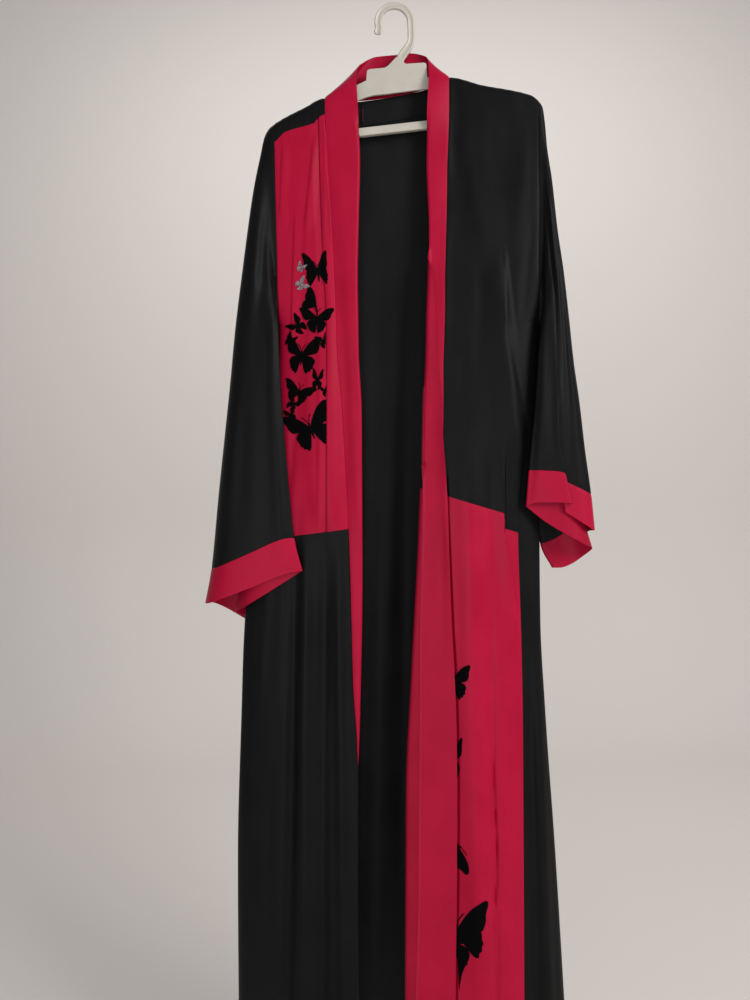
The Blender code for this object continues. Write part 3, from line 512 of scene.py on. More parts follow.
# A crease fades over part of its length, and runs on a little past both ends
CREASE_FADE = 0.4
CREASE_PAST = 0.15
CREASE_MARGIN = 40
FRONT_CREASES = named_rows(
    CREASE_NAMES,
    (-130, -300, -139, -420, 5.0, 0.8),
    (-164, -330, -150, -270, 2.5, -0.9),
    (-104, -170, -106, -330, 3.0, 0.7),
    (-128, -420, -137, -640, 5.0, 0.8),
    (-150, -560, -166, -715, 6.0, -1.0),
    (-121, -540, -124, -700, 4.0, -0.7),
    (84, -112, 96, -190, 7.0, -0.8),
    (96, -160, 112, -310, 10.0, 0.7),
    (128, -130, 122, -250, 14.0, 0.5),
    (164, -140, 150, -280, 13.0, -0.5),
    (190, -170, 172, -340, 10.0, 0.8),
    (196, -300, 178, -450, 7.0, -1.2),
    (153.5, -352, 155.5, -374, 1.4, 1.0),
    (155, -372, 153, -470, 3.0, 0.7),
    (160, -360, 164, -470, 6.0, -0.9),
    (120, -380, 112, -560, 9.0, -0.8),
    (70, -300, 66, -500, 7.0, 0.9),
    (92, -480, 84, -660, 7.0, -0.9),
    (153, -450, 176, -545, 5.0, -1.5),
    (176, -540, 186, -640, 6.0, -1.2),
    (120, -705, 118, -860, 8.0, 0.9),
    (60, -720, 56, -900, 6.0, -0.8),
    (129, -1064, 132, -1154, 1.6, -1.7),
    (134, -1110, 137, -1210, 2.0, 1.3),
    (132, -1150, 135, -1240, 1.5, -1.7),
    (135, -1206, 133, -1290, 1.6, -1.8),
    (139, -1260, 131, -1340, 1.8, 1.2),
    (133, -1276, 128, -1380, 1.6, -1.9),
    (126, -1330, 131, -1420, 1.7, 1.2),
    (128, -1364, 133, -1470, 1.6, -1.6),
    (104, -1180, 110, -1390, 8.0, 0.9),
    (158, -1130, 160, -1400, 6.0, -0.9),
    (-196, -800, -214, -1000, 7.0, 1.0),
    (-170, -820, -176, -1010, 5.0, -0.9),
    (-120, -780, -124, -960, 6.0, 0.9),
    (-104, -1000, -109, -1240, 6.0, -0.9),
    (-86, -860, -88, -1100, 5.0, -0.7),
    (-200, -1120, -208, -1400, 8.0, -1.0),
    (-150, -1200, -155, -1480, 7.0, 0.9),
    (-118, -1300, -124, -1500, 6.0, -0.8),
)
BACK_CREASES = named_rows(
    CREASE_NAMES,
    (-150, -170, -120, -260, 9.0, 1.1),
    (-110, -140, -92, -240, 8.0, -0.9),
    (-165, -250, -150, -400, 8.0, -1.3),
    (-158, -420, -120, -470, 8.0, -1.0),
    (-60, -150, -50, -300, 12.0, 1.0),
    (0, -130, 6, -330, 14.0, -0.9),
    (60, -120, 52, -300, 12.0, 1.0),
    (120, -130, 104, -270, 10.0, -1.0),
    (178, -150, 150, -290, 9.0, 1.2),
    (192, -300, 172, -430, 8.0, -1.3),
    (188, -440, 150, -490, 8.0, -1.0),
    (-30, -420, -36, -640, 12.0, 0.9),
    (90, -430, 96, -620, 10.0, -0.8),
    (-140, -620, -150, -860, 10.0, 0.9),
    (30, -700, 26, -980, 10.0, -0.9),
    (150, -700, 160, -930, 9.0, 0.9),
    (-80, -880, -90, -1150, 9.0, -0.9),
    (70, -1000, 74, -1260, 9.0, 0.9),
    (-190, -1000, -204, -1300, 9.0, -1.0),
    (200, -1000, 212, -1280, 8.0, 0.9),
)


def neck_share(x):
    """0 on the shoulders, 1 behind the neck, where the back has no ridge."""
    return ease(min(x - NECK_RIGHT_X, NECK_LEFT_X - x) / NECK_TURN)


def over_ridge(x, z, side):
    """Share of the depth kept near the shoulder ridge, where the cloth rounds over it."""
    drop = min(max((TOP(x) - z) / RIDGE_RADIUS, 0.0), 1.0)
    share = math.sqrt(1 - (1 - drop) ** 2)
    if side > 0:
        share = between(share, 1.0, neck_share(x))
    return share


def armhole_depth(z):
    """Half the armhole's opening from front to back at a height."""
    if z <= UNDERARM:
        return 0.0
    rise = min((z - UNDERARM) / ARM_ROUNDING, 1.0)
    return ARM_DEPTH * math.sqrt(1 - (1 - rise) ** 2)


def edge_depth(z, across):
    """Depth towards the armhole: a gentle swell inside, the armhole's own depth at its edge."""
    inside = ARM_DEPTH * ease((z - UNDERARM + SWELL_BELOW) / SWELL_HEIGHT)
    return between(inside, armhole_depth(z), abs(across) ** SWELL_SHARPNESS)


def fold_height(x, z, folds):
    """Height of all the long folds at a place on the cloth."""
    total = 0.0
    for fold in folds:
        if not fold.z_bottom < z < fold.z_top:
            continue
        share = (fold.z_top - z) / (fold.z_top - fold.z_bottom)
        offset = x - between(fold.x_top, fold.x_bottom, share)
        width = fold.before if offset < 0 else fold.after
        if abs(offset) < width:
            start = ease((fold.z_top - z) / fold.fade)
            end = ease((z - fold.z_bottom) / fold.fade)
            profile = 0.5 + 0.5 * math.cos(math.pi * offset / width)
            total += fold.height * profile * start * min(end * 2, 1.0)
    return total


def crease_height(x, z, creases):
    """Height of the short creases at a place on the cloth."""
    total = 0.0
    for crease in creases:
        if not crease.z_to - CREASE_MARGIN < z < crease.z_from + CREASE_MARGIN:
            continue
        along_x = crease.x_to - crease.x_from
        along_z = crease.z_to - crease.z_from
        from_x = x - crease.x_from
        from_z = z - crease.z_from
        length = math.hypot(along_x, along_z)
        share = (from_x * along_x + from_z * along_z) / length ** 2
        across = (from_x * along_z - from_z * along_x) / length
        past = 1 + CREASE_PAST
        if abs(across) < 3 * crease.width and -CREASE_PAST < share < past:
            fade = ease((share + CREASE_PAST) / CREASE_FADE) * ease((past - share) / CREASE_FADE)
            total += crease.height * fade * math.exp(-((across / crease.width) ** 2))
    return total


def knife_fold(x, z):
    """The fold by the left side seam: its edge stands proud of the cloth beyond it."""
    share = ease((KNIFE_TOP - z) / KNIFE_TOP_FADE) * ease((z - KNIFE_FOOT) / KNIFE_FOOT_FADE)
    offset = x - KNIFE_X(z)
    if share == 0 or abs(offset) > KNIFE_REACH:
        return 0.0
    if offset <= 0:
        return share * KNIFE_RISE * math.exp(-((offset / KNIFE_BEFORE) ** 2))
    beyond = ease(offset / KNIFE_STEP)
    hollow = math.exp(-((max(offset - KNIFE_STEP, 0.0) / KNIFE_BEYOND) ** 2))
    return share * (KNIFE_RISE * (1 - beyond) - KNIFE_SINK * KNIFE_RISE * beyond * hollow)


def band_groove(x, z):
    """Where the turned-out band stands off the left front, the cloth beside it hangs back."""
    offset = x - GROOVE_X(z)
    if z > GROOVE_TOP or abs(offset) > 4 * GROOVE_HALF:
        return 0.0
    share = ease((GROOVE_TOP - z) / GROOVE_FADE)
    return -GROOVE_DEEP * share * math.exp(-((offset / GROOVE_HALF) ** 2))


def slow_waves(x, z, seed):
    """The faint unevenness that satin keeps between its folds."""
    total = 0.0
    for shift, (width, length, height) in ((0.0, BROAD_WAVE), (7.3, FINE_WAVE)):
        total += height * noise.noise(Vector((x / width, seed + shift, z / length)))
    return total


def body_y(x, z, side):
    """Depth of the body's front (side -1) or back (side 1) at a place."""
    left = BODY["left"](z)
    right = BODY["right"](z)
    across = min(max((2 * x - left - right) / (right - left), -1.0), 1.0)
    girth = math.sqrt(1 - across ** 4)
    depth = BODY["front" if side < 0 else "back"](z)
    edge = edge_depth(z, across)
    relief = fold_height(x, z, FRONT_FOLDS if side < 0 else BACK_FOLDS)
    relief += crease_height(x, z, FRONT_CREASES if side < 0 else BACK_CREASES)
    relief += slow_waves(x, z, side * 11.0)
    if side < 0:
        relief += knife_fold(x, z) + band_groove(x, z)
    depth = edge + (depth - edge) * girth + relief * min(1.3 * girth, 1.0)
    return side * depth * over_ridge(x, z, side)


def seam_angle(z, name):
    """How far round its side of the body, past the middle, a side seam lies."""
    left = BODY["left"](z)
    right = BODY["right"](z)
    across = min(abs(2 * BODY[name](z) - left - right) / (right - left), 1.0)
    return math.acos(across)


def arc_gap(angle, z):
    """Angle that is half a seam's gap on the body's outline."""
    half = (BODY["right"](z) - BODY["left"](z)) / 2
    return SEAM / math.hypot(half * math.sin(angle), 1.4 * BODY["front"](z))


def body_point(angle, z):
    """Point of the body's outline: 0 at the right side, pi at the left, the back between."""
    left = BODY["left"](z)
    right = BODY["right"](z)
    x = (left + right) / 2 - (right - left) / 2 * math.cos(angle)
    return Vector((x, body_y(x, z, 1 if 0 <= angle <= math.pi else -1), z))


def heights(top, bottom, step=ROW_STEP):
    """Level rows between two heights, closer together round the bottom of the armhole."""
    count = max(round((top - bottom) / step), 1)
    rows = [between(top, bottom, i / count) for i in range(count + 1)]
    if bottom < UNDERARM < top:
        rows = [z for z in rows if abs(z - UNDERARM) > 6]
        rows += [UNDERARM + offset for offset in (6, 3.5, 1.5, 0.5, 0, -1.5, -4)]
    return sorted(rows, reverse=True)


def lines_between(upper, lower, count, first=False):
    """Row lines, each a height at an x, spread evenly between two lines."""
    made = []
    for i in range(0 if first else 1, count + 1):
        made.append(lambda x, share=i / count: between(upper(x), lower(x), share))
    return made


def level(z):
    return lambda x: z


def levels(top, bottom):
    return [level(z) for z in heights(top, bottom)]


RIDGE_DROPS = (0.0, 0.25, 0.8, 1.8, 3.2, 5.0, 7.2, 9.6, 12.0)


def ridge_lines():
    return [lambda x, drop=drop: TOP(x) - drop for drop in RIDGE_DROPS]


def from_ridge(foot, count):
    """Row lines from the shoulder ridge down to a line."""
    return ridge_lines() + lines_between(lambda x: TOP(x) - RIDGE_DROPS[-1], foot, count)


def border_run(points, first):
    """Length along the rows (or columns) from one border, and the whole length."""
    steps = np.linalg.norm(np.diff(points, axis=1), axis=2)
    run = np.concatenate([np.zeros((len(points), 1)), np.cumsum(steps, axis=1)], axis=1)
    return run if first else run[:, -1:] - run


def unit(vectors):
    return vectors / np.maximum(np.linalg.norm(vectors, axis=2, keepdims=True), 1e-9)


def seam_dip(away, lies):
    """Height of the cloth by its distance from a seam.

    Where the seam's turnings are pressed to this side the edge lies proud and rolls down
    sharply; on the other side it is sunk and slopes down gently.
    """
    if lies == "proud":
        roll = np.exp(-((away / PROUD_ROLL) ** 2))
        rise = PROUD_RISE * np.exp(-((away / PROUD_WIDTH) ** 2))
        return rise * (1 - roll) - PRESSED_DIP * roll
    if lies == "sunk":
        return -PRESSED_DIP * np.exp(-away / SUNK_SLOPE)
    return -SEAM_DIP * np.exp(-((away / DIP_WIDTH) ** 2))


def cloth(
    name, grid, borders="", loop=False, spare=(0, 0, 0, 0), thick=CLOTH, pressed=(), reverse=1.0,
):
    """A thin closed shell of cloth under a grid of outer points, rows running down.

    borders names the sides of the grid that are sewn: top, bottom, start and end. There the
    cloth dips into the seam and is faintly puckered by the thread; pressed says of a border
    that it lies proud or sunk. spare counts the rows and columns that only steer the normals.
    reverse is how much the inside takes its material's reverse tint: a duller tone on crimson,
    and on black a painted lightening that stands in for light reaching the inside.
    """
    points = np.array([[tuple(point) for point in row] for row in grid])
    if loop:
        across = np.roll(points, -1, axis=1) - np.roll(points, 1, axis=1)
    else:
        across = np.gradient(points, axis=1)
    normals = unit(np.cross(np.gradient(points, axis=0), across))
    top, bottom, start, end = spare
    rows = slice(top, len(points) - bottom)
    columns = slice(start, points.shape[1] - end)
    points = points[rows, columns]
    normals = normals[rows, columns]
    run_right = border_run(points, True)
    run_down = border_run(points.transpose(1, 0, 2), True).T
    for border in borders.split():
        if border in ("start", "end"):
            away = border_run(points, border == "start")
            along = run_down
        else:
            away = border_run(points.transpose(1, 0, 2), border == "top").T
            along = run_right
        dip = seam_dip(away, "")
        below = np.clip((PRESSED_TOP - points[:, :, 2]) / PRESSED_FADE, 0.0, 1.0)
        dip += below * (seam_dip(away, dict(pressed).get(border)) - dip)
        wave = np.sin(2 * np.pi * along / PUCKER_PITCH + 2.1 * np.sin(along / PUCKER_DRIFT))
        fade = np.exp(-away / PUCKER_REACH) * (1 - np.exp(-away / PUCKER_START))
        dip += PUCKER_HEIGHT * fade * wave
        points = points + normals * dip[:, :, None]
    inner = points - normals * thick
    row_count, column_count = points.shape[:2]
    size = row_count * column_count
    index = np.arange(size).reshape(row_count, column_count)
    if loop:
        index = np.concatenate([index, index[:, :1]], axis=1)
    a, b = index[:-1, :-1], index[1:, :-1]
    c, d = index[1:, 1:], index[:-1, 1:]
    outer_faces = np.stack([a, b, c, d], axis=-1).reshape(-1, 4)
    inner_faces = np.stack([a, d, c, b], axis=-1).reshape(-1, 4) + size
    rims = [(index[0], True), (index[-1], False)]
    if not loop:
        rims += [(index[:, 0], False), (index[:, -1], True)]
    faces = [outer_faces, inner_faces]
    for line, forward in rims:
        rim = np.stack([line[:-1], line[1:], line[1:] + size, line[:-1] + size], axis=-1)
        faces.append(rim if forward else rim[:, ::-1])
    faces = np.concatenate(faces)
    vertices = np.concatenate([points.reshape(-1, 3), inner.reshape(-1, 3)]) * MM
    mesh = bpy.data.meshes.new(name)
    mesh.from_pydata(vertices.tolist(), [], faces.tolist())
    run = np.stack([run_right, run_down], axis=-1).reshape(-1, 2) * MM
    run = np.concatenate([run, run])
    layer = mesh.uv_layers.new(name="cloth")
    corners = np.empty(len(mesh.loops), dtype=np.int32)
    mesh.loops.foreach_get("vertex_index", corners)
    layer.data.foreach_set("uv", run[corners].astype(np.float32).ravel())
    # Inside faces take the reverse tint; on black satin that paints them lighter, as painted light
    inside_tone_and_painted_light = np.zeros(len(faces), dtype=np.float32)
    inside_tone_and_painted_light[len(outer_faces):2 * len(outer_faces)] = reverse
    mesh.attributes.new("reverse", "FLOAT", "FACE").data.foreach_set("value", inside_tone_and_painted_light)
    mesh.validate()
    piece = in_place(name, mesh)
    soft_shading(piece, 60)
    return piece


def weave_group():
    """Satin's face: fine slanted ribs with slubs, and soft clouds of more or less sheen."""
    tree = bpy.data.node_groups.new("satin_weave", "ShaderNodeTree")
    for name, value in (("Pitch", 0.0005), ("Slub", 0.35), ("Cloud Size", 0.09)):
        socket = tree.interface.new_socket(name, in_out="INPUT", socket_type="NodeSocketFloat")
        socket.default_value = value
    tree.interface.new_socket("Run", in_out="INPUT", socket_type="NodeSocketVector")
    for name in ("Height", "Cloud"):
        tree.interface.new_socket(name, in_out="OUTPUT", socket_type="NodeSocketFloat")
    entry = add_node(tree, "NodeGroupInput")
    leave = add_node(tree, "NodeGroupOutput")
    scale = add_node(tree, "ShaderNodeMath", {0: 1.0}, operation="DIVIDE")
    turned = add_node(tree, "ShaderNodeMapping", {"Rotation": (0.0, 0.0, 1.1)})
    ribs = add_node(tree, "ShaderNodeTexWave", {"Distortion": 1.2, "Detail": 1.0})
    slubs = add_node(tree, "ShaderNodeTexNoise", {"Detail": 2.0, "Roughness": 0.6})
    stretched = add_node(tree, "ShaderNodeMapping", {"Scale": (1.0, 0.12, 1.0)})
    mixed = add_node(tree, "ShaderNodeMix", data_type="FLOAT")
    cloud_scale = add_node(tree, "ShaderNodeMath", {0: 1.0}, operation="DIVIDE")
    cloud = add_node(tree, "ShaderNodeTexNoise", {"Detail": 3.0, "Roughness": 0.5})
    wire(
        tree,
        (entry, "Pitch", scale, 1),
        (entry, "Run", turned, "Vector"),
        (turned, "Vector", ribs, "Vector"),
        (scale, 0, ribs, "Scale"),
        (entry, "Run", stretched, "Vector"),
        (stretched, "Vector", slubs, "Vector"),
        (scale, 0, slubs, "Scale"),
        (entry, "Slub", mixed, "Factor"),
        (ribs, "Fac", mixed, "A"),
        (slubs, "Fac", mixed, "B"),
        (mixed, "Result", leave, "Height"),
        (entry, "Cloud Size", cloud_scale, 1),
        (entry, "Run", cloud, "Vector"),
        (cloud_scale, 0, cloud, "Scale"),
        (cloud, "Fac", leave, "Cloud"),
    )
    return tree


SATIN_WEAVE = weave_group()
REVERSE_ROUGHER = 0.15
CLOUD_REACH = (0.3, 0.7)


def satin(name, slot, dark, light, rough, sheen, sheen_tint, reverse_tone_and_painted_light):
    """Satin in one colour; dark and light are the ends of its cloudy shading.

    The reverse of the cloth is matt, and its colour is multiplied by the reverse tint: on crimson
    that is the cloth's own duller tone, on black a painted lightening that stands in for light
    reaching the matt inside.
    """
    made, tree, shader = new_material(name, slot)
    run = add_node(tree, "ShaderNodeUVMap", uv_map="cloth")
    weave = add_node(tree, "ShaderNodeGroup", node_tree=SATIN_WEAVE)
    tint = colour_ramp(tree, dark, light, *CLOUD_REACH)
    gloss = add_node(tree, "ShaderNodeMapRange")
    for name, value in zip(("From Min", "From Max"), CLOUD_REACH):
        gloss.inputs[name].default_value = value
    put(gloss.inputs, {"To Min": rough - 0.03, "To Max": rough + 0.05})
    bump = add_node(tree, "ShaderNodeBump", {"Strength": 0.25, "Distance": 0.0001})
    side = add_node(tree, "ShaderNodeAttribute", attribute_name="reverse")
    # Reverse tint: the crimson's own duller inside, and on black a painted lightening of the inside
    inside_tone_and_painted_light = add_node(tree, "ShaderNodeMixRGB", blend_type="MULTIPLY")
    inside_tone_and_painted_light.inputs["Color2"].default_value = (*reverse_tone_and_painted_light, 1)
    matt = add_node(tree, "ShaderNodeMath", {1: REVERSE_ROUGHER}, operation="MULTIPLY_ADD")
    wire(
        tree,
        (run, "UV", weave, "Run"),
        (side, "Fac", inside_tone_and_painted_light, "Fac"),
        (side, "Fac", matt, 0),
        (weave, "Cloud", tint, "Fac"),
        (weave, "Cloud", gloss, "Value"),
        (tint, "Color", inside_tone_and_painted_light, "Color1"),
        (inside_tone_and_painted_light, "Color", shader, "Base Color"),
        (gloss, "Result", matt, 2),
        (matt, "Value", shader, "Roughness"),
        (weave, "Height", bump, "Height"),
        (bump, "Normal", shader, "Normal"),
    )
    put(shader.inputs, {"Sheen Weight": sheen, "Sheen Roughness": 0.45, "IOR": 1.45})
    shader.inputs["Sheen Tint"].default_value = (*sheen_tint, 1)
    shader.inputs["Specular IOR Level"].default_value = 0.11
    return made


# The black's reverse tint is above one: painted light that lightens its inside faces
black_satin = satin(
    "black_satin", "black_satin",
    dark=(0.0033, 0.0033, 0.0034), light=(0.0053, 0.0053, 0.0054), rough=0.46,
    sheen=0.003, sheen_tint=(0.75, 0.78, 0.8), reverse_tone_and_painted_light=(1.6, 1.62, 1.65),
)


def side_guide(z, name, past):
    """Point on the body's outline a little past a side seam, to steer the normals there."""
    angle = (seam_angle(z, name) if z <= UNDERARM else 0.0) + past
    return body_point(-angle if name == "seam_right" else math.pi + angle, z)


def back_row(line):
    """One row of the back from the right side seam to the left one, with a guide past each."""
    z_right = line(ARM_RIGHT_X)
    z_left = line(ARM_LEFT_X)
    start = 0.0
    end = math.pi
    if z_right <= UNDERARM:
        start = -seam_angle(z_right, "seam_right")
        start += arc_gap(start, z_right)
        end += seam_angle(z_left, "seam_left")
        end -= arc_gap(end, z_left)
    row = []
    for i in range(BACK_COLUMNS + 1):
        share = i / BACK_COLUMNS
        share += BACK_CROWDING * math.sin(2 * math.pi * share) / (2 * math.pi)
        angle = between(start, end, share)
        x = body_point(angle, between(z_right, z_left, share)).x
        z = line(x)
        row.append(body_point(angle, z))
    before = side_guide(z_right, "seam_right", GUIDE_ANGLE)
    after = side_guide(z_left, "seam_left", GUIDE_ANGLE)
    return [before] + row + [after]


back_lines = from_ridge(level(BACK_LEVEL_TOP), 7) + levels(BACK_LEVEL_TOP, HEM)[1:]
back = cloth(
    "back", [back_row(line)[::-1] for line in back_lines], "top start end", spare=(0, 0, 1, 1)
)
finish_piece(back, black_satin, "back_panel")

# RIGHT FRONT
# Three panels: a narrow black strip over the shoulder, a crimson chest panel with one knife
# pleat beside the band, and a black skirt front whose free edge rolls inwards.
ROLL = 4.0
# The right front's free edge: where its fold begins, the runs of cloth from there to the band's
# seam and the band's free edge, and how far that edge is lifted
RIGHT_EDGE = table(
    "z fold seam free lift",
    (-100, -55, -44, 8, 0),
    (-154, -55, -43.5, 8.5, 0),
    (-210, -53, -43, 9, 0),
    (-296, -56, -35.5, 16.5, 0),
    (-397, -59, -28.5, 23.5, 0),
    (-489, -59, -26.5, 25.5, 0),
    (-574, -56, -23.5, 28.5, 0),
    (-689, -57, -18, 34, 0),
    (-804, -58, -14.5, 37.5, 0),
    (-891, -60, -11.5, 40.5, 0),
    (-977, -63, -7.5, 44.5, 0),
    (-1034, -65, -2.5, 49.5, 0),
    (-1111, -68, 5.5, 57.5, 0),
    (-1240, -70, 14, 66, 0),
    (-1458, -73, 24, 76, 0),
    (-1540, -74, 26, 78, 0),
)
# The free edges of both fronts by side; the left one's is added in its own section
FREE_EDGE = {-1: RIGHT_EDGE}
# The knife pleat of the chest panel: place of its edge at each height
PLEAT_X = table(
    "z x",
    (-150, -110.5),
    (-220, -110),
    (-344, -107.5),
    (-457, -103.5),
    (-618, -106),
    (-757, -108.5),
)["x"]
PLEAT_UNDERLAP = 12.0
PLEAT_LEAST_GAP = 2.5
CHEST_MIDDLE_X = -140
BAND_SEAM_AWAY = 40
CHEST_COLUMNS = 62
SKIRT_COLUMNS = (52, 14)
YOKE_COLUMNS = 39
# The evenly spread rows of each panel lie level between these heights
CHEST_LEVEL = (-225, -700)
SKIRT_LEVEL_TOP = -830
# Columns between the pleat and the band, closer together towards the band's seam
BESIDE_COLUMNS = 14
BESIDE_CROWDING = 1.6
# Where a front's evenly spread columns give way to the finer ones round its free edge
KNEE_REACH = 8.0
# Points across the pleat: share of the underlap, sideways and backwards from its edge
PLEAT_POINTS = (
    (0.0, -12.0, 0.0),
    (0.0, -5.0, 1.6),
    (0.0, 0.0, 2.6),
    (0.6, 0.0, 2.6),
    (0.95, 0.0, 2.6),
    (1.0, 0.0, 2.2),
    (0.95, 0.0, 1.8),
    (0.4, 0.6, 1.8),
    (0.0, 0.8, 1.8),
    (0.0, -0.8, 1.5),
    (0.0, -1.3, 0.95),
    (0.0, -0.8, 0.3),
    (0.0, 0.8, 0.0),
)
# The shoulder strip's seam with the chest panel: its height at each place across
YOKE_SEAM = table(
    "x z",
    (-180, -192),
    (-173, -188),
    (-161, -177),
    (-148, -172.5),
    (-117.5, -163),
    (-114.5, -158),
    (-104, -152),
    (-90, -146),
)["z"]
# The slanted seam below the chest panel: its height at x = 0 and its rise per mm of x
CHEST_SEAM = (-739.1, 0.115)


def slanted(seam, gap=0.0):
    return lambda x: seam[0] + seam[1] * x + gap


def on_front(x, z):
    return Vector((x, body_y(x, z, -1), z))


def edge_point(side, run, z):
    """Point of a front near its free edge, by the run of cloth past the start of its fold.

    side is -1 for the right front and 1 for the left one.
    """
    edge = FREE_EDGE[side]
    start = edge["fold"](z) + side * ROLL
    if run <= 0:
        return on_front(start - side * run, z)
    turn = -1 if side > 0 and z < TURN_OVER else 1
    angle = min(run / ROLL, math.pi)
    beyond = max(run - math.pi * ROLL, 0.0)
    x = start - side * ROLL * math.sin(angle) + side * beyond
    lift = edge["lift"](z) * (beyond / max(edge["free"](z), 1.0)) ** 2
    y = body_y(start + side * beyond, z, -1) + turn * (ROLL * (1 - math.cos(angle)) + lift)
    return Vector((x, y, z))


def side_x(z, name):
    """X at which a front begins, half a gap from the side seam."""
    angle = seam_angle(z, name)
    angle += arc_gap(angle, z)
    middle = (BODY["left"](z) + BODY["right"](z)) / 2
    half = (BODY["right"](z) - BODY["left"](z)) / 2
    sign = -1 if name == "seam_right" else 1
    if z > UNDERARM:
        return middle + sign * half
    return middle + sign * half * math.cos(angle)


def crowded(count):
    """Shares from 0 to 1, closer together towards the side that curves away."""
    values = [i / (count - 1) for i in range(count)]
    return [0.5 * value + 0.5 * (1 - math.cos(value * math.pi / 2)) for value in values]


def front_row(side, line, columns, turned):
    """One row of a front from its side seam to its band seam, listed from -X to +X."""
    edge = FREE_EDGE[side]
    name = "seam_right" if side < 0 else "seam_left"
    guess = line(edge["fold"](line(0)))
    start_z = line(BODY[name](guess))
    side_run = -abs(side_x(start_z, name) - edge["fold"](start_z) - side * ROLL)
    end = edge["seam"](guess) - SEAM
    knee = min(end, 0.0) - KNEE_REACH
    runs = [between(side_run, knee, share) for share in crowded(columns)]
    if side > 0:
        start = edge["fold"](guess) + ROLL
        knife = start - KNIFE_X(line(KNIFE_X(guess)))
        groove = start - GROOVE_X(line(GROOVE_X(guess)))
        runs = left_columns(side_run, knife - KNIFE_STEP, knife, groove, knee, columns)
    runs += [between(knee, end, i / turned) for i in range(1, turned + 1)]
    runs.append(2 * runs[-1] - runs[-2])
    row = [side_guide(start_z, name, -GUIDE_ANGLE)]
    for run in runs:
        point = edge_point(side, run, guess)
        point = edge_point(side, run, line(point.x))
        if run == side_run:
            point = on_front(side_x(start_z, name), start_z)
        row.append(point)
    return row if side < 0 else row[::-1]


def yoke_row(line):
    """A row of the shoulder strip, from the armhole to the band."""
    row = []
    for i in range(YOKE_COLUMNS + 1):
        x = between(ARM_RIGHT_X, NECK_RIGHT_X, i / YOKE_COLUMNS)
        seam = edge_point(-1, RIGHT_EDGE["seam"](line(x)), line(x)).x - SEAM
        x = between(ARM_RIGHT_X, seam, i / YOKE_COLUMNS)
        row.append(on_front(x, line(x)))
    return row


def chest_row(line):
    """A row of the chest panel, from its armhole or side seam over the pleat to the band."""
    first = line(CHEST_MIDDLE_X)
    pleat = PLEAT_X(line(PLEAT_X(first)))
    seam_z = line(RIGHT_EDGE["fold"](first) - BAND_SEAM_AWAY)
    seam = edge_point(-1, RIGHT_EDGE["seam"](seam_z), seam_z).x - SEAM
    start = side_x(line(BODY["seam_right"](first)), "seam_right")
    underlap = min(PLEAT_UNDERLAP, seam - pleat - PLEAT_LEAST_GAP)
    row = [side_guide(line(start), "seam_right", -GUIDE_ANGLE)]
    for share in crowded(CHEST_COLUMNS)[:-1]:
        x = between(start, pleat + PLEAT_POINTS[0][1], share)
        row.append(on_front(x, line(x)))
    offsets = [(lap * underlap + sideways, deep) for lap, sideways, deep in PLEAT_POINTS]
    for sideways, deep in rounded_path(offsets, 3):
        x = pleat + sideways
        row.append(Vector((x, body_y(x, line(x), -1) + deep, line(x))))
    last = row[-1].x
    for i in range(1, BESIDE_COLUMNS + 1):
        x = between(last, seam, 1 - (1 - i / BESIDE_COLUMNS) ** BESIDE_CROWDING)
        row.append(on_front(x, line(x)))
    return row


crimson_satin = satin(
    "crimson_satin", "crimson_satin",
    dark=(0.355, 0.0032, 0.027), light=(0.415, 0.0048, 0.036), rough=0.42,
    sheen=0.008, sheen_tint=(1.0, 0.3, 0.4), reverse_tone_and_painted_light=(0.76, 0.85, 0.72),
)

yoke_lines = from_ridge(lambda x: YOKE_SEAM(x) + SEAM, 4)
yoke = cloth("right_shoulder_strip", [yoke_row(line) for line in yoke_lines], "top bottom start")
finish_piece(yoke, black_satin, "right_yoke")

level_top, level_foot = CHEST_LEVEL
chest_lines = lines_between(lambda x: YOKE_SEAM(x) - SEAM, level(level_top), 12, first=True)
chest_lines += levels(level_top, level_foot)[1:]
chest_lines += lines_between(level(level_foot), slanted(CHEST_SEAM, SEAM), 5)
chest = cloth(
    "right_chest", [chest_row(line) for line in chest_lines], "top bottom start end",
    spare=(0, 0, 1, 0), pressed=[("end", "proud")],
)
finish_piece(chest, crimson_satin, "right_chest_panel")

skirt_lines = lines_between(slanted(CHEST_SEAM, -SEAM), level(SKIRT_LEVEL_TOP), 10, first=True)
skirt_lines += levels(SKIRT_LEVEL_TOP, HEM)[1:]
skirt = cloth(
    "right_skirt", [front_row(-1, line, *SKIRT_COLUMNS) for line in skirt_lines], "top start end",
    spare=(0, 0, 1, 1), pressed=[("end", "proud")],
)
finish_piece(skirt, black_satin, "right_skirt_front")

# LEFT FRONT
# Two panels: black from the shoulder to a slanted seam near the hip, crimson below it. The
# lower one's free edge is turned out, so a strip of its inside shows beside the band.
TURN_OVER = -345.0
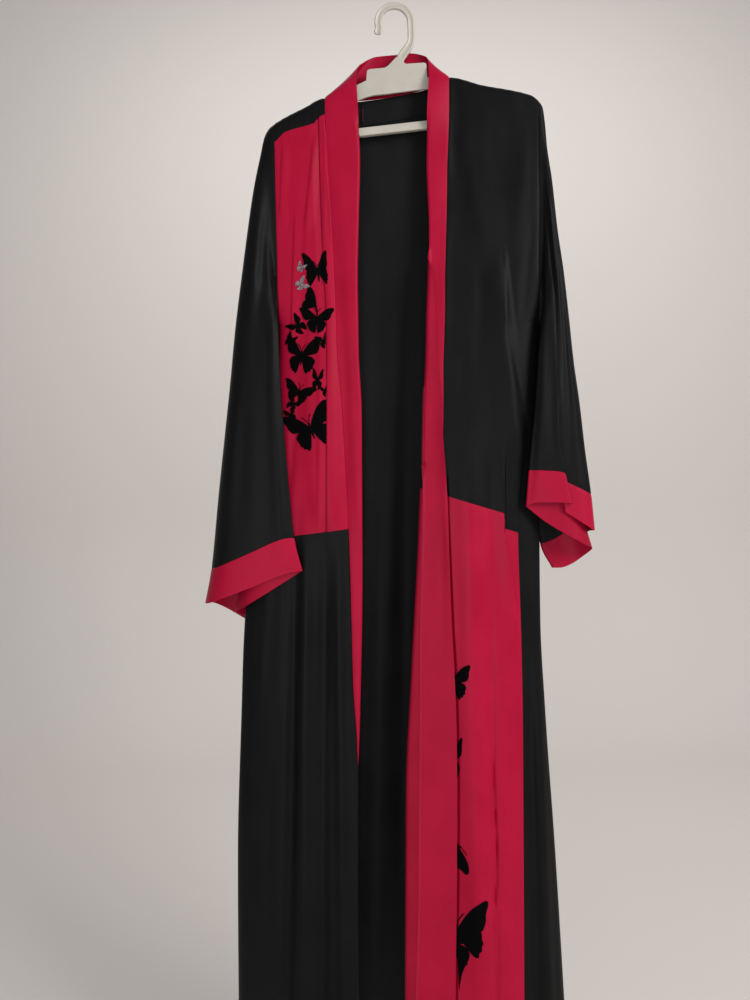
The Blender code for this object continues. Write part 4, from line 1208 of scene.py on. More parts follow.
# The left front's free edge, as the right one's: turned in above TURN_OVER, and turned out like
# a lapel below it
LEFT_EDGE = table(
    "z fold seam free lift",
    (-100, 44, -28, 8, 0),
    (-154, 44, -27.5, 8, 0),
    (-226, 42, -26, 8, 0),
    (-300, 43.5, -22.5, 3.5, 0),
    (-345, 43.2, -21, 3.0, 0),
    (-380, 42.3, -20.5, 14.8, 0.8),
    (-443, 39.5, -22.3, 21.2, 2.5),
    (-505, 37.4, -21.8, 24.7, 5),
    (-556, 34.4, -24.4, 31.7, 9),
    (-608, 32.5, -25.2, 36.1, 12),
    (-630, 31.8, -22, 38, 13),
    (-650, 31.0, 0, 40, 14),
    (-664, 30.2, 8.5, 41.6, 14),
    (-690, 27.8, 11.8, 45.5, 14),
    (-794, 22, 14.7, 54, 12),
    (-886, 16, 17.1, 62, 8),
    (-995, 9, 22.5, 74, 6),
    (-1109, 2, 27.2, 82, 4),
    (-1264, -1, 27.3, 83, 4),
    (-1454, -4, 24.2, 82, 4),
    (-1540, -5, 23.2, 81, 4),
)
FREE_EDGE[1] = LEFT_EDGE
# The slanted seam between the colours, as the chest panel's
COLOUR_SEAM = (-681.3, -0.31)
# Where the sharp fold crosses that seam, how much lower it lies beyond, and how many of the
# columns are beyond
KNIFE_CROSSING = -728.0
KNIFE_DROP = 22.0
KNIFE_COLUMNS = 30
GROOVE_COLUMNS = 11
GROOVE_CLEAR = 3
# Columns over the flat and round the free edge of each panel, and where its level rows lie
UPPER_COLUMNS = (90, 14)
LOWER_COLUMNS = (112, 20)
UPPER_LEVEL = (-152, -650)
LOWER_LEVEL_TOP = -800


def colour_seam(gap):
    """Height of the left front's colour seam, which lies lower beyond the sharp fold."""
    edge = KNIFE_X(KNIFE_CROSSING)
    return lambda x: slanted(COLOUR_SEAM, gap)(x) - KNIFE_DROP * ease((x - edge) / KNIFE_STEP)


def left_columns(side, beyond, knife, groove, knee, columns):
    """Places of a left row's columns: one on each side of the sharp fold, more in the groove."""
    count = columns - KNIFE_COLUMNS - GROOVE_COLUMNS
    way = 1 if knife < knee else -1
    reach = 2.4 * GROOVE_HALF * way
    groove = way * min(way * groove, way * (knee - reach) - GROOVE_CLEAR)
    wide = count * 3 // 5
    places = [between(side, beyond, share) for share in crowded(KNIFE_COLUMNS)]
    places += [between(knife, groove - reach, i / wide) for i in range(wide)]
    for i in range(GROOVE_COLUMNS):
        places.append(groove + reach * (2 * i / (GROOVE_COLUMNS - 1) - 1))
    rest = count - wide
    return places + [between(groove + reach, knee, (i + 1) / rest) for i in range(rest)]


def left_top_row(line):
    """A row near the left shoulder, with a guide before and after it."""
    height = line(NECK_LEFT_X)
    seam = edge_point(1, LEFT_EDGE["seam"](height), height).x + SEAM
    knee = seam + KNEE_REACH
    knife = KNIFE_X(line(KNIFE_X(height)))
    groove = GROOVE_X(height)
    columns, turned_columns = UPPER_COLUMNS
    places = left_columns(ARM_LEFT_X, knife + KNIFE_STEP, knife, groove, knee, columns)
    places += [between(knee, seam, i / turned_columns) for i in range(1, turned_columns + 1)]
    row = [on_front(x, line(x)) for x in places[::-1]]
    return [row[0] - Vector((1, 0, 0))] + row + [row[-1]]


level_top, level_foot = UPPER_LEVEL
upper_grid = [left_top_row(line) for line in from_ridge(level(level_top), 5)]
upper_lines = levels(level_top, level_foot)[1:]
upper_lines += lines_between(level(level_foot), colour_seam(SEAM), 8)
upper_grid += [front_row(1, line, *UPPER_COLUMNS) for line in upper_lines]
left_upper = cloth("left_upper", upper_grid, "top bottom start end", spare=(0, 0, 1, 1))
finish_piece(left_upper, black_satin, "left_upper_front")

lower_lines = lines_between(colour_seam(-SEAM), level(LOWER_LEVEL_TOP), 10, first=True)
lower_lines += levels(LOWER_LEVEL_TOP, HEM)[1:]
left_lower = cloth(
    "left_lower", [front_row(1, line, *LOWER_COLUMNS) for line in lower_lines], "top start end",
    spare=(0, 0, 1, 1),
)
finish_piece(left_lower, crimson_satin, "left_lower_panel")

# BANDS
# A doubled crimson band 52 mm wide, cut in two halves that meet at the centre back. Each half
# stands round the neck and runs down its front to the hem; the right one rolls inwards all the
# way and the left one turns out like a lapel from the chest down.
NECK_FOOT = -154.0
BAND_BULGE = 2.0
BAND_CLOTH = 1.0
# The inside of a doubled band or cuff is satin too, only less smooth
DOUBLED_REVERSE = 0.35
# The least share of a band's width that its roll and each flat beside it take
LEAST_SHARE = 0.16
NECK_LEVELS = (-190, -225)
# Round the neck: the seam's place, on a front at a height or on the back at an x, then the free
# edge's place, and how far the band starts above the seam
NECK_NAMES = "on at edge_x edge_y edge_z lift"
NECK_RIGHT = named_rows(
    NECK_NAMES,
    ("front", -152, -55, -15.0, -150, 0.0),
    ("front", -137, -56, -14.0, -125, 0.6),
    ("front", -128, -57, -9.0, -101, 1.6),
    ("back", -100, -55, 2.0, -81, 2.0),
    ("back", -86, -46, 12.0, -69, 2.0),
    ("back", -62, -33, 18.0, -60, 1.2),
    ("back", -36, -16, 20.0, -57, 0.4),
    ("back", -8, 2, 20.5, -55.5, 0.0),
)
NECK_LEFT = named_rows(
    NECK_NAMES,
    ("back", -8, 2, 20.5, -55.5, 0.0),
    ("back", 16, 15, 20.0, -54, 0.0),
    ("back", 40, 28, 18.0, -55, 0.6),
    ("back", 60, 39, 12.0, -60, 1.6),
    ("back", 73, 46, 4.0, -68, 2.0),
    ("front", -101, 47, -6.0, -85, 1.6),
    ("front", -112, 46, -14.0, -110, 0.8),
    ("front", -152, 43.5, -17.0, -150, 0.0),
)


def band_runs(edge, z):
    """Runs of a band's points across it, closest together where the cloth rolls over."""
    seam = edge["seam"](z) + SEAM
    free = edge["free"](z)
    least = LEAST_SHARE * (free - seam)
    start = min(max(0.0, seam + least), free - 2 * least)
    end = min(max(math.pi * ROLL, start + least), free - least)
    runs = [seam - (start - seam) / 10]
    for low, high, count in ((seam, start, 10), (start, end, 12), (end, free, 10)):
        runs += [between(low, high, i / count) for i in range(count)]
    return runs + [free]


def neck_point(side, on, at):
    """Point of the neck seam, on a front at a height or on the back at an x."""
    if on == "front":
        return edge_point(side, FREE_EDGE[side]["seam"](at), at)
    return Vector((at, body_y(at, TOP(at), 1), TOP(at)))


def neck_row(side, row):
    """One row of the band round the neck, from its seam to its free edge."""
    seam = neck_point(side, row.on, row.at)
    edge = Vector((row.edge_x, row.edge_y, row.edge_z))
    start = seam + (edge - seam).normalized() * 2 * SEAM + Vector((0, 0, row.lift))
    bulge = Vector((side * 0.4, -1, 0.5) if row.on == "front" else (0, 1, 0.5)) * BAND_BULGE
    runs = band_runs(FREE_EDGE[side], NECK_FOOT)
    points = []
    for run in runs:
        share = (run - runs[1]) / (runs[-1] - runs[1])
        points.append(start.lerp(edge, share) + bulge * 2 * share * (1 - share))
    return points


def band(name, side):
    """Half of the neck band, from the centre back over the shoulder to the hem."""
    edge = FREE_EDGE[side]
    neck = NECK_RIGHT[::-1] if side < 0 else NECK_LEFT
    coarse = [neck_row(side, row) for row in neck]
    middle = Vector((SEAM * side, 0, 0))
    coarse[0] = [point + middle for point in coarse[0]]
    for z in NECK_LEVELS:
        coarse.append([edge_point(side, run, z) for run in band_runs(edge, z)])
    columns = [rounded_path([tuple(point) for point in column], 6) for column in zip(*coarse)]
    grid = [[Vector(point) for point in row] for row in zip(*columns)]
    for z in heights(NECK_LEVELS[-1], HEM)[1:]:
        grid.append([edge_point(side, run, z) for run in band_runs(edge, z)])
    spare = (0, 0, 1, 0)
    if side > 0:
        grid = [row[::-1] for row in grid]
        spare = (0, 0, 0, 1)
    seam = "start" if side < 0 else "end"
    return cloth(
        name, grid, seam, spare=spare, thick=BAND_CLOTH, reverse=DOUBLED_REVERSE,
        pressed=[("start", "sunk")],
    )


for name, side, node in (("band_right", -1, "right_band"), ("band_left", 1, "left_band")):
    half = band(name, side)
    finish_piece(half, crimson_satin, node)

# SLEEVES AND CUFFS
# Wide straight sleeves, pressed flat by hanging: each is folded so that a front lap lies over
# the body's front and a back lap behind it, with the underarm fold just outside the side seam.
# A deep crimson cuff is sewn to each, and hangs open at the wrist.
SLEEVE_GAP = 0.05
SLEEVE_COUNT = 84
CUFF_COUNT = 15
# A sleeve at t, from 0 at the armhole to 1 at the cuff seam: its outer edge, the inner edge of
# its front lap, the underarm fold, the inner edge of its back lap, and how deep the laps stand
# on the side of the body and on the outside
SLEEVE_NAMES = "t outer_x outer_z front_x front_z fold_x fold_z back_x back_z inner outer"
RIGHT_SLEEVE = table(
    SLEEVE_NAMES,
    (0.00, -176, -161, -176, -375, -176, -450, -176, -375, 12, 12),
    (0.04, -184, -167, -177.5, -378, -178, -450, -177.5, -378, 11, 12.5),
    (0.09, -191, -178, -179, -381, -181, -451, -179, -381, 11, 13),
    (0.15, -198, -206, -180, -385, -182, -452, -180, -385, 12, 15),
    (0.25, -208, -250, -180, -400, -184, -455, -180, -400, 15, 19),
    (0.35, -219, -315, -176.5, -425, -186, -462, -179, -425, 18, 24),
    (0.45, -228, -375, -174, -452, -190, -480, -178, -455, 22, 30),
    (0.55, -239, -450, -173, -490, -193, -515, -178, -500, 25, 33),
    (0.65, -249, -535, -171.5, -545, -200, -565, -178.5, -565, 26, 35),
    (0.75, -258, -605, -168, -605, -207, -630, -178, -640, 27, 36),
    (0.87, -269, -690, -163, -680, -219, -719, -175, -755, 28, 37),
    (1.00, -283, -806, -156, -759, -238, -823, -170, -890, 29, 40),
    (1.15, -293.5, -857, -145, -807, -249, -871, -163, -940, 29, 41),
)
LEFT_SLEEVE = table(
    SLEEVE_NAMES,
    (0.00, 204.5, -133, 204.5, -375, 204.5, -450, 204.5, -375, 12, 12),
    (0.04, 210.5, -141, 206, -378, 206.5, -450, 206, -378, 11, 12.5),
    (0.09, 214, -158, 207.5, -381, 209, -451, 207.5, -381, 11, 13),
    (0.15, 217, -194, 208.5, -385, 211, -452, 208.5, -385, 12, 15),
    (0.25, 224, -243, 208.5, -400, 212.5, -455, 208.5, -400, 15, 19),
    (0.35, 231.5, -315, 207, -425, 213.5, -462, 207.5, -425, 18, 24),
    (0.45, 240, -376, 205, -452, 214, -480, 206, -455, 20, 29),
    (0.55, 248, -445, 200, -490, 215.5, -512, 203, -495, 22, 31),
    (0.65, 254.5, -505, 197, -530, 218.5, -550, 202, -545, 23, 32),
    (0.75, 264, -572, 193, -580, 226.5, -602, 201, -605, 24, 33),
    (0.87, 272, -640, 188, -625, 243.5, -667, 202, -692, 25, 34),
    (1.00, 281, -704, 184, -665.5, 269, -740, 212, -779, 26, 35),
    (1.15, 286.5, -757, 179.5, -718, 283, -784, 230, -816, 26, 36),
)
# How far the right front lap's cuff seam and hem rise above a straight line, from the outer
# edge in, how far down the sleeve that starts, and the cuff's share of the sleeve's length
RIGHT_BOW = table(
    "along seam hem",
    (0, 0, 0),
    (0.5, 3.5, 2.8),
    (0.8, 6, 5),
    (0.9, 5, 4),
    (1, 0, 0),
)
BOW_START = 0.8
CUFF_SHARE = 0.15
# How far the underside of each lap sags below a straight line, from its inner edge to the fold
INNER_SAG = {
    "front": table("along seam hem", (0, 0, 0), (0.35, -3, -5), (0.7, -2, -3), (1, 0, 0)),
    "back": table("along seam hem", (0, 0, 0), (0.5, -8, -12), (0.8, -7, -10), (1, 0, 0)),
}
# Points from the outer edge to a lap's inner edge, then back to the underarm fold: share of
# the way, and share of the lap's depth
OUTER_RUN = (
    (0.0, 0.0), (0.03, 0.42), (0.09, 0.72), (0.2, 0.93), (0.36, 1.0), (0.54, 1.0), (0.72, 1.0),
    (0.86, 0.99), (0.95, 0.93),
)
INNER_RUN = ((0.04, 1.0), (0.3, 1.0), (0.58, 1.0), (0.84, 0.75))
# The left front lap carries one knife fold near its cuff. For each of its points: share of the
# way and of the depth where it is smooth, the same where it is folded, how much the point
# follows the fold's drift towards the outer edge, and its rise at the cuff seam and the hem
LEFT_LAP = named_rows(
    "along depth folded_along folded_depth follow seam hem",
    (0.00, 0.00, 0.00, 0.00, 0.0, 0.0, 0.0),
    (0.03, 0.42, 0.03, 0.42, 0.0, 0.2, 0.3),
    (0.09, 0.72, 0.09, 0.66, 0.0, 0.8, 1.2),
    (0.17, 0.91, 0.20, 0.80, 0.2, 2.0, 3.5),
    (0.26, 0.96, 0.33, 0.84, 0.6, 3.0, 6.5),
    (0.35, 1.00, 0.45, 0.85, 0.9, 4.0, 9.5),
    (0.40, 1.00, 0.53, 0.87, 1.0, 5.0, 12.0),
    (0.43, 1.00, 0.54, 0.90, 1.0, 6.0, 15.0),
    (0.46, 1.00, 0.51, 0.92, 1.0, 7.0, 20.0),
    (0.49, 1.00, 0.465, 0.95, 1.0, 8.0, 25.0),
    (0.51, 1.00, 0.452, 0.99, 1.0, 9.0, 28.0),
    (0.53, 1.00, 0.462, 1.04, 1.0, 11.0, 28.0),
    (0.56, 1.00, 0.49, 1.07, 0.9, 15.0, 26.5),
    (0.64, 1.00, 0.61, 1.07, 0.5, 13.0, 22.0),
    (0.75, 1.00, 0.75, 1.05, 0.2, 8.5, 16.0),
    (0.86, 0.99, 0.86, 1.01, 0.0, 5.0, 11.0),
    (0.95, 0.93, 0.95, 0.93, 0.0, 1.5, 4.5),
)
DRAG_START = 0.15
ARMHOLE_END = 0.1
FOLD_START = 0.6
FOLD_DRIFT = -0.47
CUFF_SEAM_SHARE = 0.0004
# Soft drags in the sleeves: place along the lap, its slant, reach in t, half width and height
SLEEVE_DRAGS = named_rows(
    "place slant t_from t_to width height",
    (0.30, 0.10, 0.05, 0.55, 0.07, 1.6),
    (0.55, -0.08, 0.12, 0.70, 0.06, -1.5),
    (0.20, 0.18, 0.40, 0.95, 0.06, -1.6),
    (0.45, 0.06, 0.50, 1.10, 0.07, 1.5),
    (0.70, -0.05, 0.45, 1.10, 0.05, -1.2),
    (0.85, 0.02, 0.55, 1.15, 0.05, 1.0),
)


def drag_height(along, t, seed):
    """Height of a sleeve's soft drags and waves at a place on a lap."""
    total = 0.9 * noise.noise(Vector((along * 4.0, seed, t * 5.0)))
    for drag in SLEEVE_DRAGS:
        if drag.t_from < t < drag.t_to:
            share = (t - drag.t_from) / (drag.t_to - drag.t_from)
            offset = (along - drag.place - drag.slant * share) / drag.width
            fade = math.sin(math.pi * share) ** 0.7
            total += drag.height * fade * math.exp(-(offset ** 2))
    return total


def cuff_rise(at_seam, at_hem, t):
    """A rise that grows towards the cuff seam and changes from there to the hem."""
    rise = between(at_seam, at_hem, max((t - 1) / CUFF_SHARE, 0.0))
    return rise * ease((t - BOW_START) / (1 - BOW_START))


def lap_points(side, lap, t):
    """Share of the way, share of the depth and rise of each point across the outer face."""
    made = []
    if side < 0 or lap == "back":
        for along, depth in OUTER_RUN:
            rise = 0.0
            if lap == "front":
                rise = cuff_rise(RIGHT_BOW["seam"](along), RIGHT_BOW["hem"](along), t)
            made.append((along, depth, rise))
        return made
    folded = ease((t - FOLD_START) / (1 - FOLD_START))
    for point in LEFT_LAP:
        drifted = point.folded_along + point.follow * FOLD_DRIFT * (t - 1)
        along = between(point.along, drifted, folded)
        depth = between(point.depth, point.folded_depth, folded)
        made.append((along, depth, cuff_rise(point.seam, point.hem, t)))
    return made


def sleeve_ring(shape, side, t):
    """One loop of a sleeve, listed so that its outer face runs down and across."""
    at = {name: column(t) for name, column in shape.items()}
    top = Vector((at["outer_x"], 0, at["outer_z"]))
    fold = Vector((at["fold_x"], 0, at["fold_z"]))
    halves = []
    for lap, deep in (("front", -1), ("back", 1)):
        edge = Vector((at[lap + "_x"], 0, at[lap + "_z"]))
        half = []
        for along, depth, rise in lap_points(side, lap, t):
            point = top.lerp(edge, along)
            drag = drag_height(along, t, side * 3 + deep) * ease(t / DRAG_START) * depth ** 2
            point.y = deep * (at["outer"] * depth + drag)
            point.z += rise
            half.append(point)
        turn = edge.copy()
        turn.y = deep * (at["outer"] + at["inner"]) / 2
        half.append(turn)
        for along, depth in INNER_RUN:
            point = edge.lerp(fold, along)
            point.y = deep * at["inner"] * depth
            if side > 0:
                point.z += cuff_rise(INNER_SAG[lap]["seam"](along), INNER_SAG[lap]["hem"](along), t)
            half.append(point)
        halves.append(half)
    points = halves[0] + [fold] + halves[1][:0:-1]
    start = ease(1 - t / ARMHOLE_END)
    for i, point in enumerate(points):
        deep = -1 if i < len(halves[0]) else 1
        if start > 0 and i != 0 and i != len(halves[0]):
            drop = min(max((at["outer_z"] - point.z) / RIDGE_RADIUS, 0.0), 1.0)
            rounding = math.sqrt(1 - (1 - drop) ** 2)
            point.y = between(point.y, deep * armhole_depth(point.z) * rounding, start)
        point.x += side * SLEEVE_GAP
    points = points if side < 0 else [points[0]] + points[:0:-1]
    path = [tuple(point) for point in points]
    closed = rounded_path(path[-1:] + path + path[:2], 4)
    return [Vector(point) for point in closed[4:4 + 4 * len(path)]]


def sleeve(name, side, shape):
    """A sleeve and its cuff; the rows past their seam steer the normals there."""
    times = [i / SLEEVE_COUNT for i in range(SLEEVE_COUNT)] + [1.0 - CUFF_SEAM_SHARE, 1.01]
    grid = [sleeve_ring(shape, side, t) for t in times]
    tube = cloth(name + "_sleeve_cloth", grid, "top bottom", loop=True, spare=(0, 1, 0, 0))
    times = [0.99, 1.0 + 2 * CUFF_SEAM_SHARE]
    times += [1.0 + CUFF_SHARE * i / CUFF_COUNT for i in range(1, CUFF_COUNT + 1)]
    grid = [sleeve_ring(shape, side, t) for t in times]
    cuff = cloth(
        name + "_cuff_cloth", grid, "top", loop=True, spare=(1, 0, 0, 0), thick=BAND_CLOTH,
        reverse=DOUBLED_REVERSE,
    )
    return tube, cuff


for name, side, shape in (("right", -1, RIGHT_SLEEVE), ("left", 1, LEFT_SLEEVE)):
    tube, cuff = sleeve(name, side, shape)
    finish_piece(tube, black_satin, name + "_sleeve")
    finish_piece(cuff, crimson_satin, name + "_cuff")

# LABEL
# A bare strip of black woven tape inside the back neck, tacked down with a short row of red
# stitches at its right end.
LABEL_THICK = 1.0
LABEL_GAP = 0.3
LABEL_LEFT = -50.0
LABEL_RIGHT = 50.0
LABEL_DROP = (3.0, 35.0)
LABEL_MIDDLE_DROP = 19.0
BACK_WALL = 1.3
TAPE_LIFT = 0.5
TAPE_ROWS = 11
TAPE_COLUMNS = 30


def label_point(x, drop, lift=0.0):
    back_inside = body_y(x, TOP(x) - LABEL_MIDDLE_DROP, 1) - BACK_WALL - LABEL_GAP - LABEL_THICK
    return Vector((x, back_inside + TAPE_LIFT - lift, TOP(x) - drop))


label_xs = [between(LABEL_LEFT, LABEL_RIGHT, j / TAPE_COLUMNS) for j in range(TAPE_COLUMNS + 1)]
label_grid = []
for i in range(TAPE_ROWS + 1):
    drop = between(*LABEL_DROP, i / TAPE_ROWS)
    label_grid.append([label_point(x, drop) for x in label_xs])
tape = cloth("neck_tape", label_grid, thick=0.5, reverse=0.0)
label_black = satin(
    "label_tape", "label_tape", dark=(0.006, 0.006, 0.007), light=(0.009, 0.009, 0.010),
    rough=0.6, sheen=0.01, sheen_tint=(0.8, 0.8, 0.8), reverse_tone_and_painted_light=(1, 1, 1),
)
finish_piece(tape, label_black, "neck_label")

# BUTTERFLIES
# Flat black flocked butterflies heat-pressed and edge-stitched onto the crimson panels, with
# two small ones in silver glitter. Those by the pleat and the turned band run under them.
FLOCK_LIFT = 0.2
FLOCK_THICK = 0.35
PLEAT_MARGIN = 1.8


def over_cloth(piece):
    mesh = piece.data
    vertices = [vertex.co.copy() for vertex in mesh.vertices]
    return BVHTree.FromPolygons(vertices, [tuple(face.vertices) for face in mesh.polygons])


# Outlines of a forewing and a hindwing from the root, and half of a body: across and up
FOREWING = (
    (0.03, 0.06), (0.10, 0.24), (0.27, 0.48), (0.48, 0.71), (0.72, 0.86), (0.88, 0.90),
    (0.96, 0.84), (0.93, 0.70), (0.88, 0.55), (0.88, 0.40), (0.84, 0.26), (0.76, 0.14),
    (0.58, 0.08), (0.36, 0.03), (0.15, 0.0),
)
HINDWING = (
    (0.03, 0.0), (0.20, 0.02), (0.42, 0.0), (0.60, -0.07), (0.70, -0.20), (0.68, -0.33),
    (0.63, -0.43), (0.62, -0.54), (0.53, -0.60), (0.49, -0.69), (0.38, -0.71), (0.32, -0.80),
    (0.22, -0.74), (0.15, -0.58), (0.09, -0.38), (0.04, -0.18),
)
HALF_BODY = (
    (0.035, 0.24), (0.045, 0.19), (0.03, 0.15), (0.05, 0.08), (0.052, -0.02), (0.045, -0.12),
    (0.035, -0.28), (0.015, -0.40),
)
ANTENNA = ((0.01, 0.22, 0.008), (0.05, 0.36, 0.008), (0.12, 0.48, 0.008), (0.19, 0.55, 0.018))
LEVEL_LIFT = 0.04
DRAPE_REACH = (-1.5, 0.0, 1.5)
BUTTERFLY_NAMES = "x z turn size left right raised dropped tail"
WING_RINGS = 6
VIEWER_DISTANCE = 3.0
VIEWER_REACH_M = 0.03
CLIP_REACH = 60
# The tail grows from the hindwing's points near this place across, below this height
TAIL_PLACE = 0.32
TAIL_NARROW = 9
TAIL_BELOW = -0.65


def closed_path(points, fine):
    """A smooth closed line through points."""
    points = list(points)
    path = rounded_path(points[-1:] + points + points[:2], fine)
    return path[fine:fine * (len(points) + 1)]


def turned(point, degrees):
    """A point turned clockwise about the origin."""
    cosine = math.cos(math.radians(degrees))
    sine = math.sin(math.radians(degrees))
    return (point[0] * cosine + point[1] * sine, point[1] * cosine - point[0] * sine)


def wing_shapes(row):
    """Outlines of one butterfly with the level each lies at: wings, antennae and body."""
    hindwing = []
    for u, v in HINDWING:
        near = max(0.0, 1 - abs(u - TAIL_PLACE) * TAIL_NARROW)
        hindwing.append((u, v - row.tail * near if v < TAIL_BELOW else v))
    shapes = []
    for sign, squeeze in ((-1, row.left), (1, row.right)):
        if not squeeze:
            continue
        for level_up, outline, angle in ((0, hindwing, row.dropped), (1, FOREWING, -row.raised)):
            made = [turned(point, angle) for point in closed_path(outline, 3)]
            shapes.append((level_up, [(sign * squeeze * u, v) for u, v in made]))
        left = [(sign * (u - wide), v) for u, v, wide in ANTENNA]
        right = [(sign * (u + wide), v) for u, v, wide in ANTENNA]
        shapes.append((2, left + right[::-1]))
    body = list(HALF_BODY) + [(-u, v) for u, v in HALF_BODY[::-1]]
    shapes.append((2, closed_path(body, 3)))
    return shapes


def butterfly(tree, row, level_up, edge_x=None):
    """One butterfly laid on the cloth; edge_x clips it where it runs under a pleat."""
    bm = bmesh.new()
    lifts = bm.verts.layers.float.new("lift")

    def spot(u, v, lift):
        u, v = turned((u * row.size, v * row.size), row.turn)
        vertex = bm.verts.new((row.x + u, row.z + v, 0))
        vertex[lifts] = lift
        return vertex

    for layer, outline in wing_shapes(row):
        lift = FLOCK_LIFT + LEVEL_LIFT * (layer + 3 * level_up)
        middle = (0.02 * outline[0][0], 0.02 * outline[0][1])
        if layer == 2:
            middle = [sum(values) / len(outline) for values in zip(*outline)]
        centre = spot(*middle, lift)
        rows = []
        for ring in range(1, WING_RINGS + 1):
            share = ring / WING_RINGS
            rows.append([
                spot(between(middle[0], u, share), between(middle[1], v, share), lift)
                for u, v in outline
            ])
        for a, b in zip(rows[0], rows[0][1:] + rows[0][:1]):
            bm.faces.new((centre, a, b))
        for inner, outer in zip(rows, rows[1:]):
            for j in range(len(inner)):
                k = (j + 1) % len(inner)
                bm.faces.new((inner[j], outer[j], outer[k], inner[k]))
    if edge_x:
        low = Vector((edge_x(row.z - CLIP_REACH), row.z - CLIP_REACH, 0))
        high = Vector((edge_x(row.z + CLIP_REACH), row.z + CLIP_REACH, 0))
        across = Vector((high.y - low.y, low.x - high.x, 0)).normalized()
        geometry = bm.verts[:] + bm.edges[:] + bm.faces[:]
        bmesh.ops.bisect_plane(
            bm, geom=geometry, plane_co=low, plane_no=across, clear_outer=True
        )
    for vertex in bm.verts:
        x, z = vertex.co.x, vertex.co.y
        depths = []
        for reach in (0.0,) if edge_x else DRAPE_REACH:
            start = Vector((x + reach, body_y(x + reach, z, -1) - VIEWER_DISTANCE, z)) * MM
            hit = tree.ray_cast(start, Vector((0, 1, 0)), VIEWER_REACH_M)[0]
            if hit:
                depths.append(hit.y / MM)
        y = min(depths) if depths else body_y(x, z, -1)
        vertex.co = (x * MM, (y - vertex[lifts]) * MM, z * MM)
    bmesh.ops.recalc_face_normals(bm, faces=bm.faces)
    for face in bm.faces:
        if face.normal.y > 0:
            face.normal_flip()
    return bm


def flock_piece(name, outlines, material):
    """Joins butterflies, gives them their thickness towards the viewer and their finish."""
    joined_mesh = bmesh.new()
    for bm in outlines:
        part = bpy.data.meshes.new("part")
        bm.to_mesh(part)
        joined_mesh.from_mesh(part)
        bpy.data.meshes.remove(part)
        bm.free()
    mesh = bpy.data.meshes.new(name)
    joined_mesh.to_mesh(mesh)
    joined_mesh.free()
    piece = in_place(name, mesh)
    solid = piece.modifiers.new("thickness", "SOLIDIFY")
    solid.thickness = FLOCK_THICK * MM
    solid.offset = 1.0
    piece = in_place(name, plain_mesh(piece, name))
    soft_shading(piece, 50)
    finish_piece(piece, material)


def flock():
    """Short black pile: very dark, with a soft edge sheen and a fine nap whose low spots carry
    painted shade.
    """
    made, tree, shader = new_material("black_flock", "black_satin")
    place = add_node(tree, "ShaderNodeTexCoord")
    pile = add_node(tree, "ShaderNodeTexNoise", {"Scale": 2600.0, "Detail": 2.0})
    bump = add_node(tree, "ShaderNodeBump", {"Strength": 0.5, "Distance": 0.0002})
    # Painted shade: the colour follows the nap's bump, darker where it is low, lighter where it
    # stands up
    tint = colour_ramp(tree, (0.0008, 0.0008, 0.0009), (0.0028, 0.0028, 0.0030))
    wire(
        tree,
        (place, "Object", pile, "Vector"),
        (pile, "Fac", bump, "Height"),
        (pile, "Fac", tint, "Fac"),
        (tint, "Color", shader, "Base Color"),
        (bump, "Normal", shader, "Normal"),
    )
    put(shader.inputs, {"Roughness": 0.95, "Specular IOR Level": 0.04})
    return made


def glitter():
    """Silver-grey glitter film: small flakes of unlike brightness and tilt."""
    made, tree, shader = new_material("silver_glitter", "black_satin")
    place = add_node(tree, "ShaderNodeTexCoord")
    flakes = add_node(tree, "ShaderNodeTexVoronoi", {"Scale": 1500.0})
    tint = colour_ramp(tree, (0.045, 0.03, 0.035), (0.42, 0.36, 0.38))
    bump = add_node(tree, "ShaderNodeBump", {"Strength": 0.9, "Distance": 0.0003})
    grey = add_node(tree, "ShaderNodeSeparateColor")
    wire(
        tree,
        (place, "Object", flakes, "Vector"),
        (flakes, "Color", grey, "Color"),
        (grey, "Red", tint, "Fac"),
        (grey, "Green", bump, "Height"),
        (tint, "Color", shader, "Base Color"),
        (bump, "Normal", shader, "Normal"),
    )
    put(shader.inputs, {"Roughness": 0.35, "Metallic": 0.6})
    return made


black_flock = flock()
silver_glitter = glitter()
# Place of the body, turn clockwise, size, how far the left and right wings are open, how much
# the forewings are raised and the hindwings dropped, in degrees, and the hindwings' tails
CHEST_BUTTERFLIES = named_rows(
    BUTTERFLY_NAMES,
    (-119.8, -426.5, -14, 25, 1.00, 0.00, 42, -78, 0),
    (-147, -453, -52, 17, 0.70, 0.80, 0, 0, 0),
    (-158, -473, 36, 12, 0.75, 0.60, 0, 0, 0),
    (-142.5, -496, 5, 32, 0.76, 0.92, 0, 0, 0),
    (-109, -476, -24, 13, 0.80, 0.80, 0, 0, 0),
    (-119, -533, 6, 17, 0.62, 0.55, 10, 0, 0),
    (-108, -548, -14, 10, 0.70, 0.60, 0, 0, 0),
    (-147, -547, 21, 22, 0.95, 0.95, -19, 0, 0),
    (-156, -565, 42, 13, 0.80, 0.80, 0, 0, 0),
    (-159, -581, -22, 12, 0.80, 0.70, 0, 0, 0),
    (-130, -602, -21, 38, 0.92, 0.95, -4, -6, 0),
)
PLEAT_BUTTERFLIES = named_rows(
    BUTTERFLY_NAMES,
    (-115.9, -377.6, -6, 32, 0.70, 0.53, 3, -30, 0),
    (-118.7, -442.5, 3, 26, 0.85, 0.80, -19, 12, 0),
)
SILVER_BUTTERFLIES = named_rows(
    BUTTERFLY_NAMES,
    (-140, -370, 30, 8.5, 0.90, 0.70, 0, 0, 0),
    (-140.5, -394, 62, 11, 0.90, 0.85, 0, 0, 0),
)
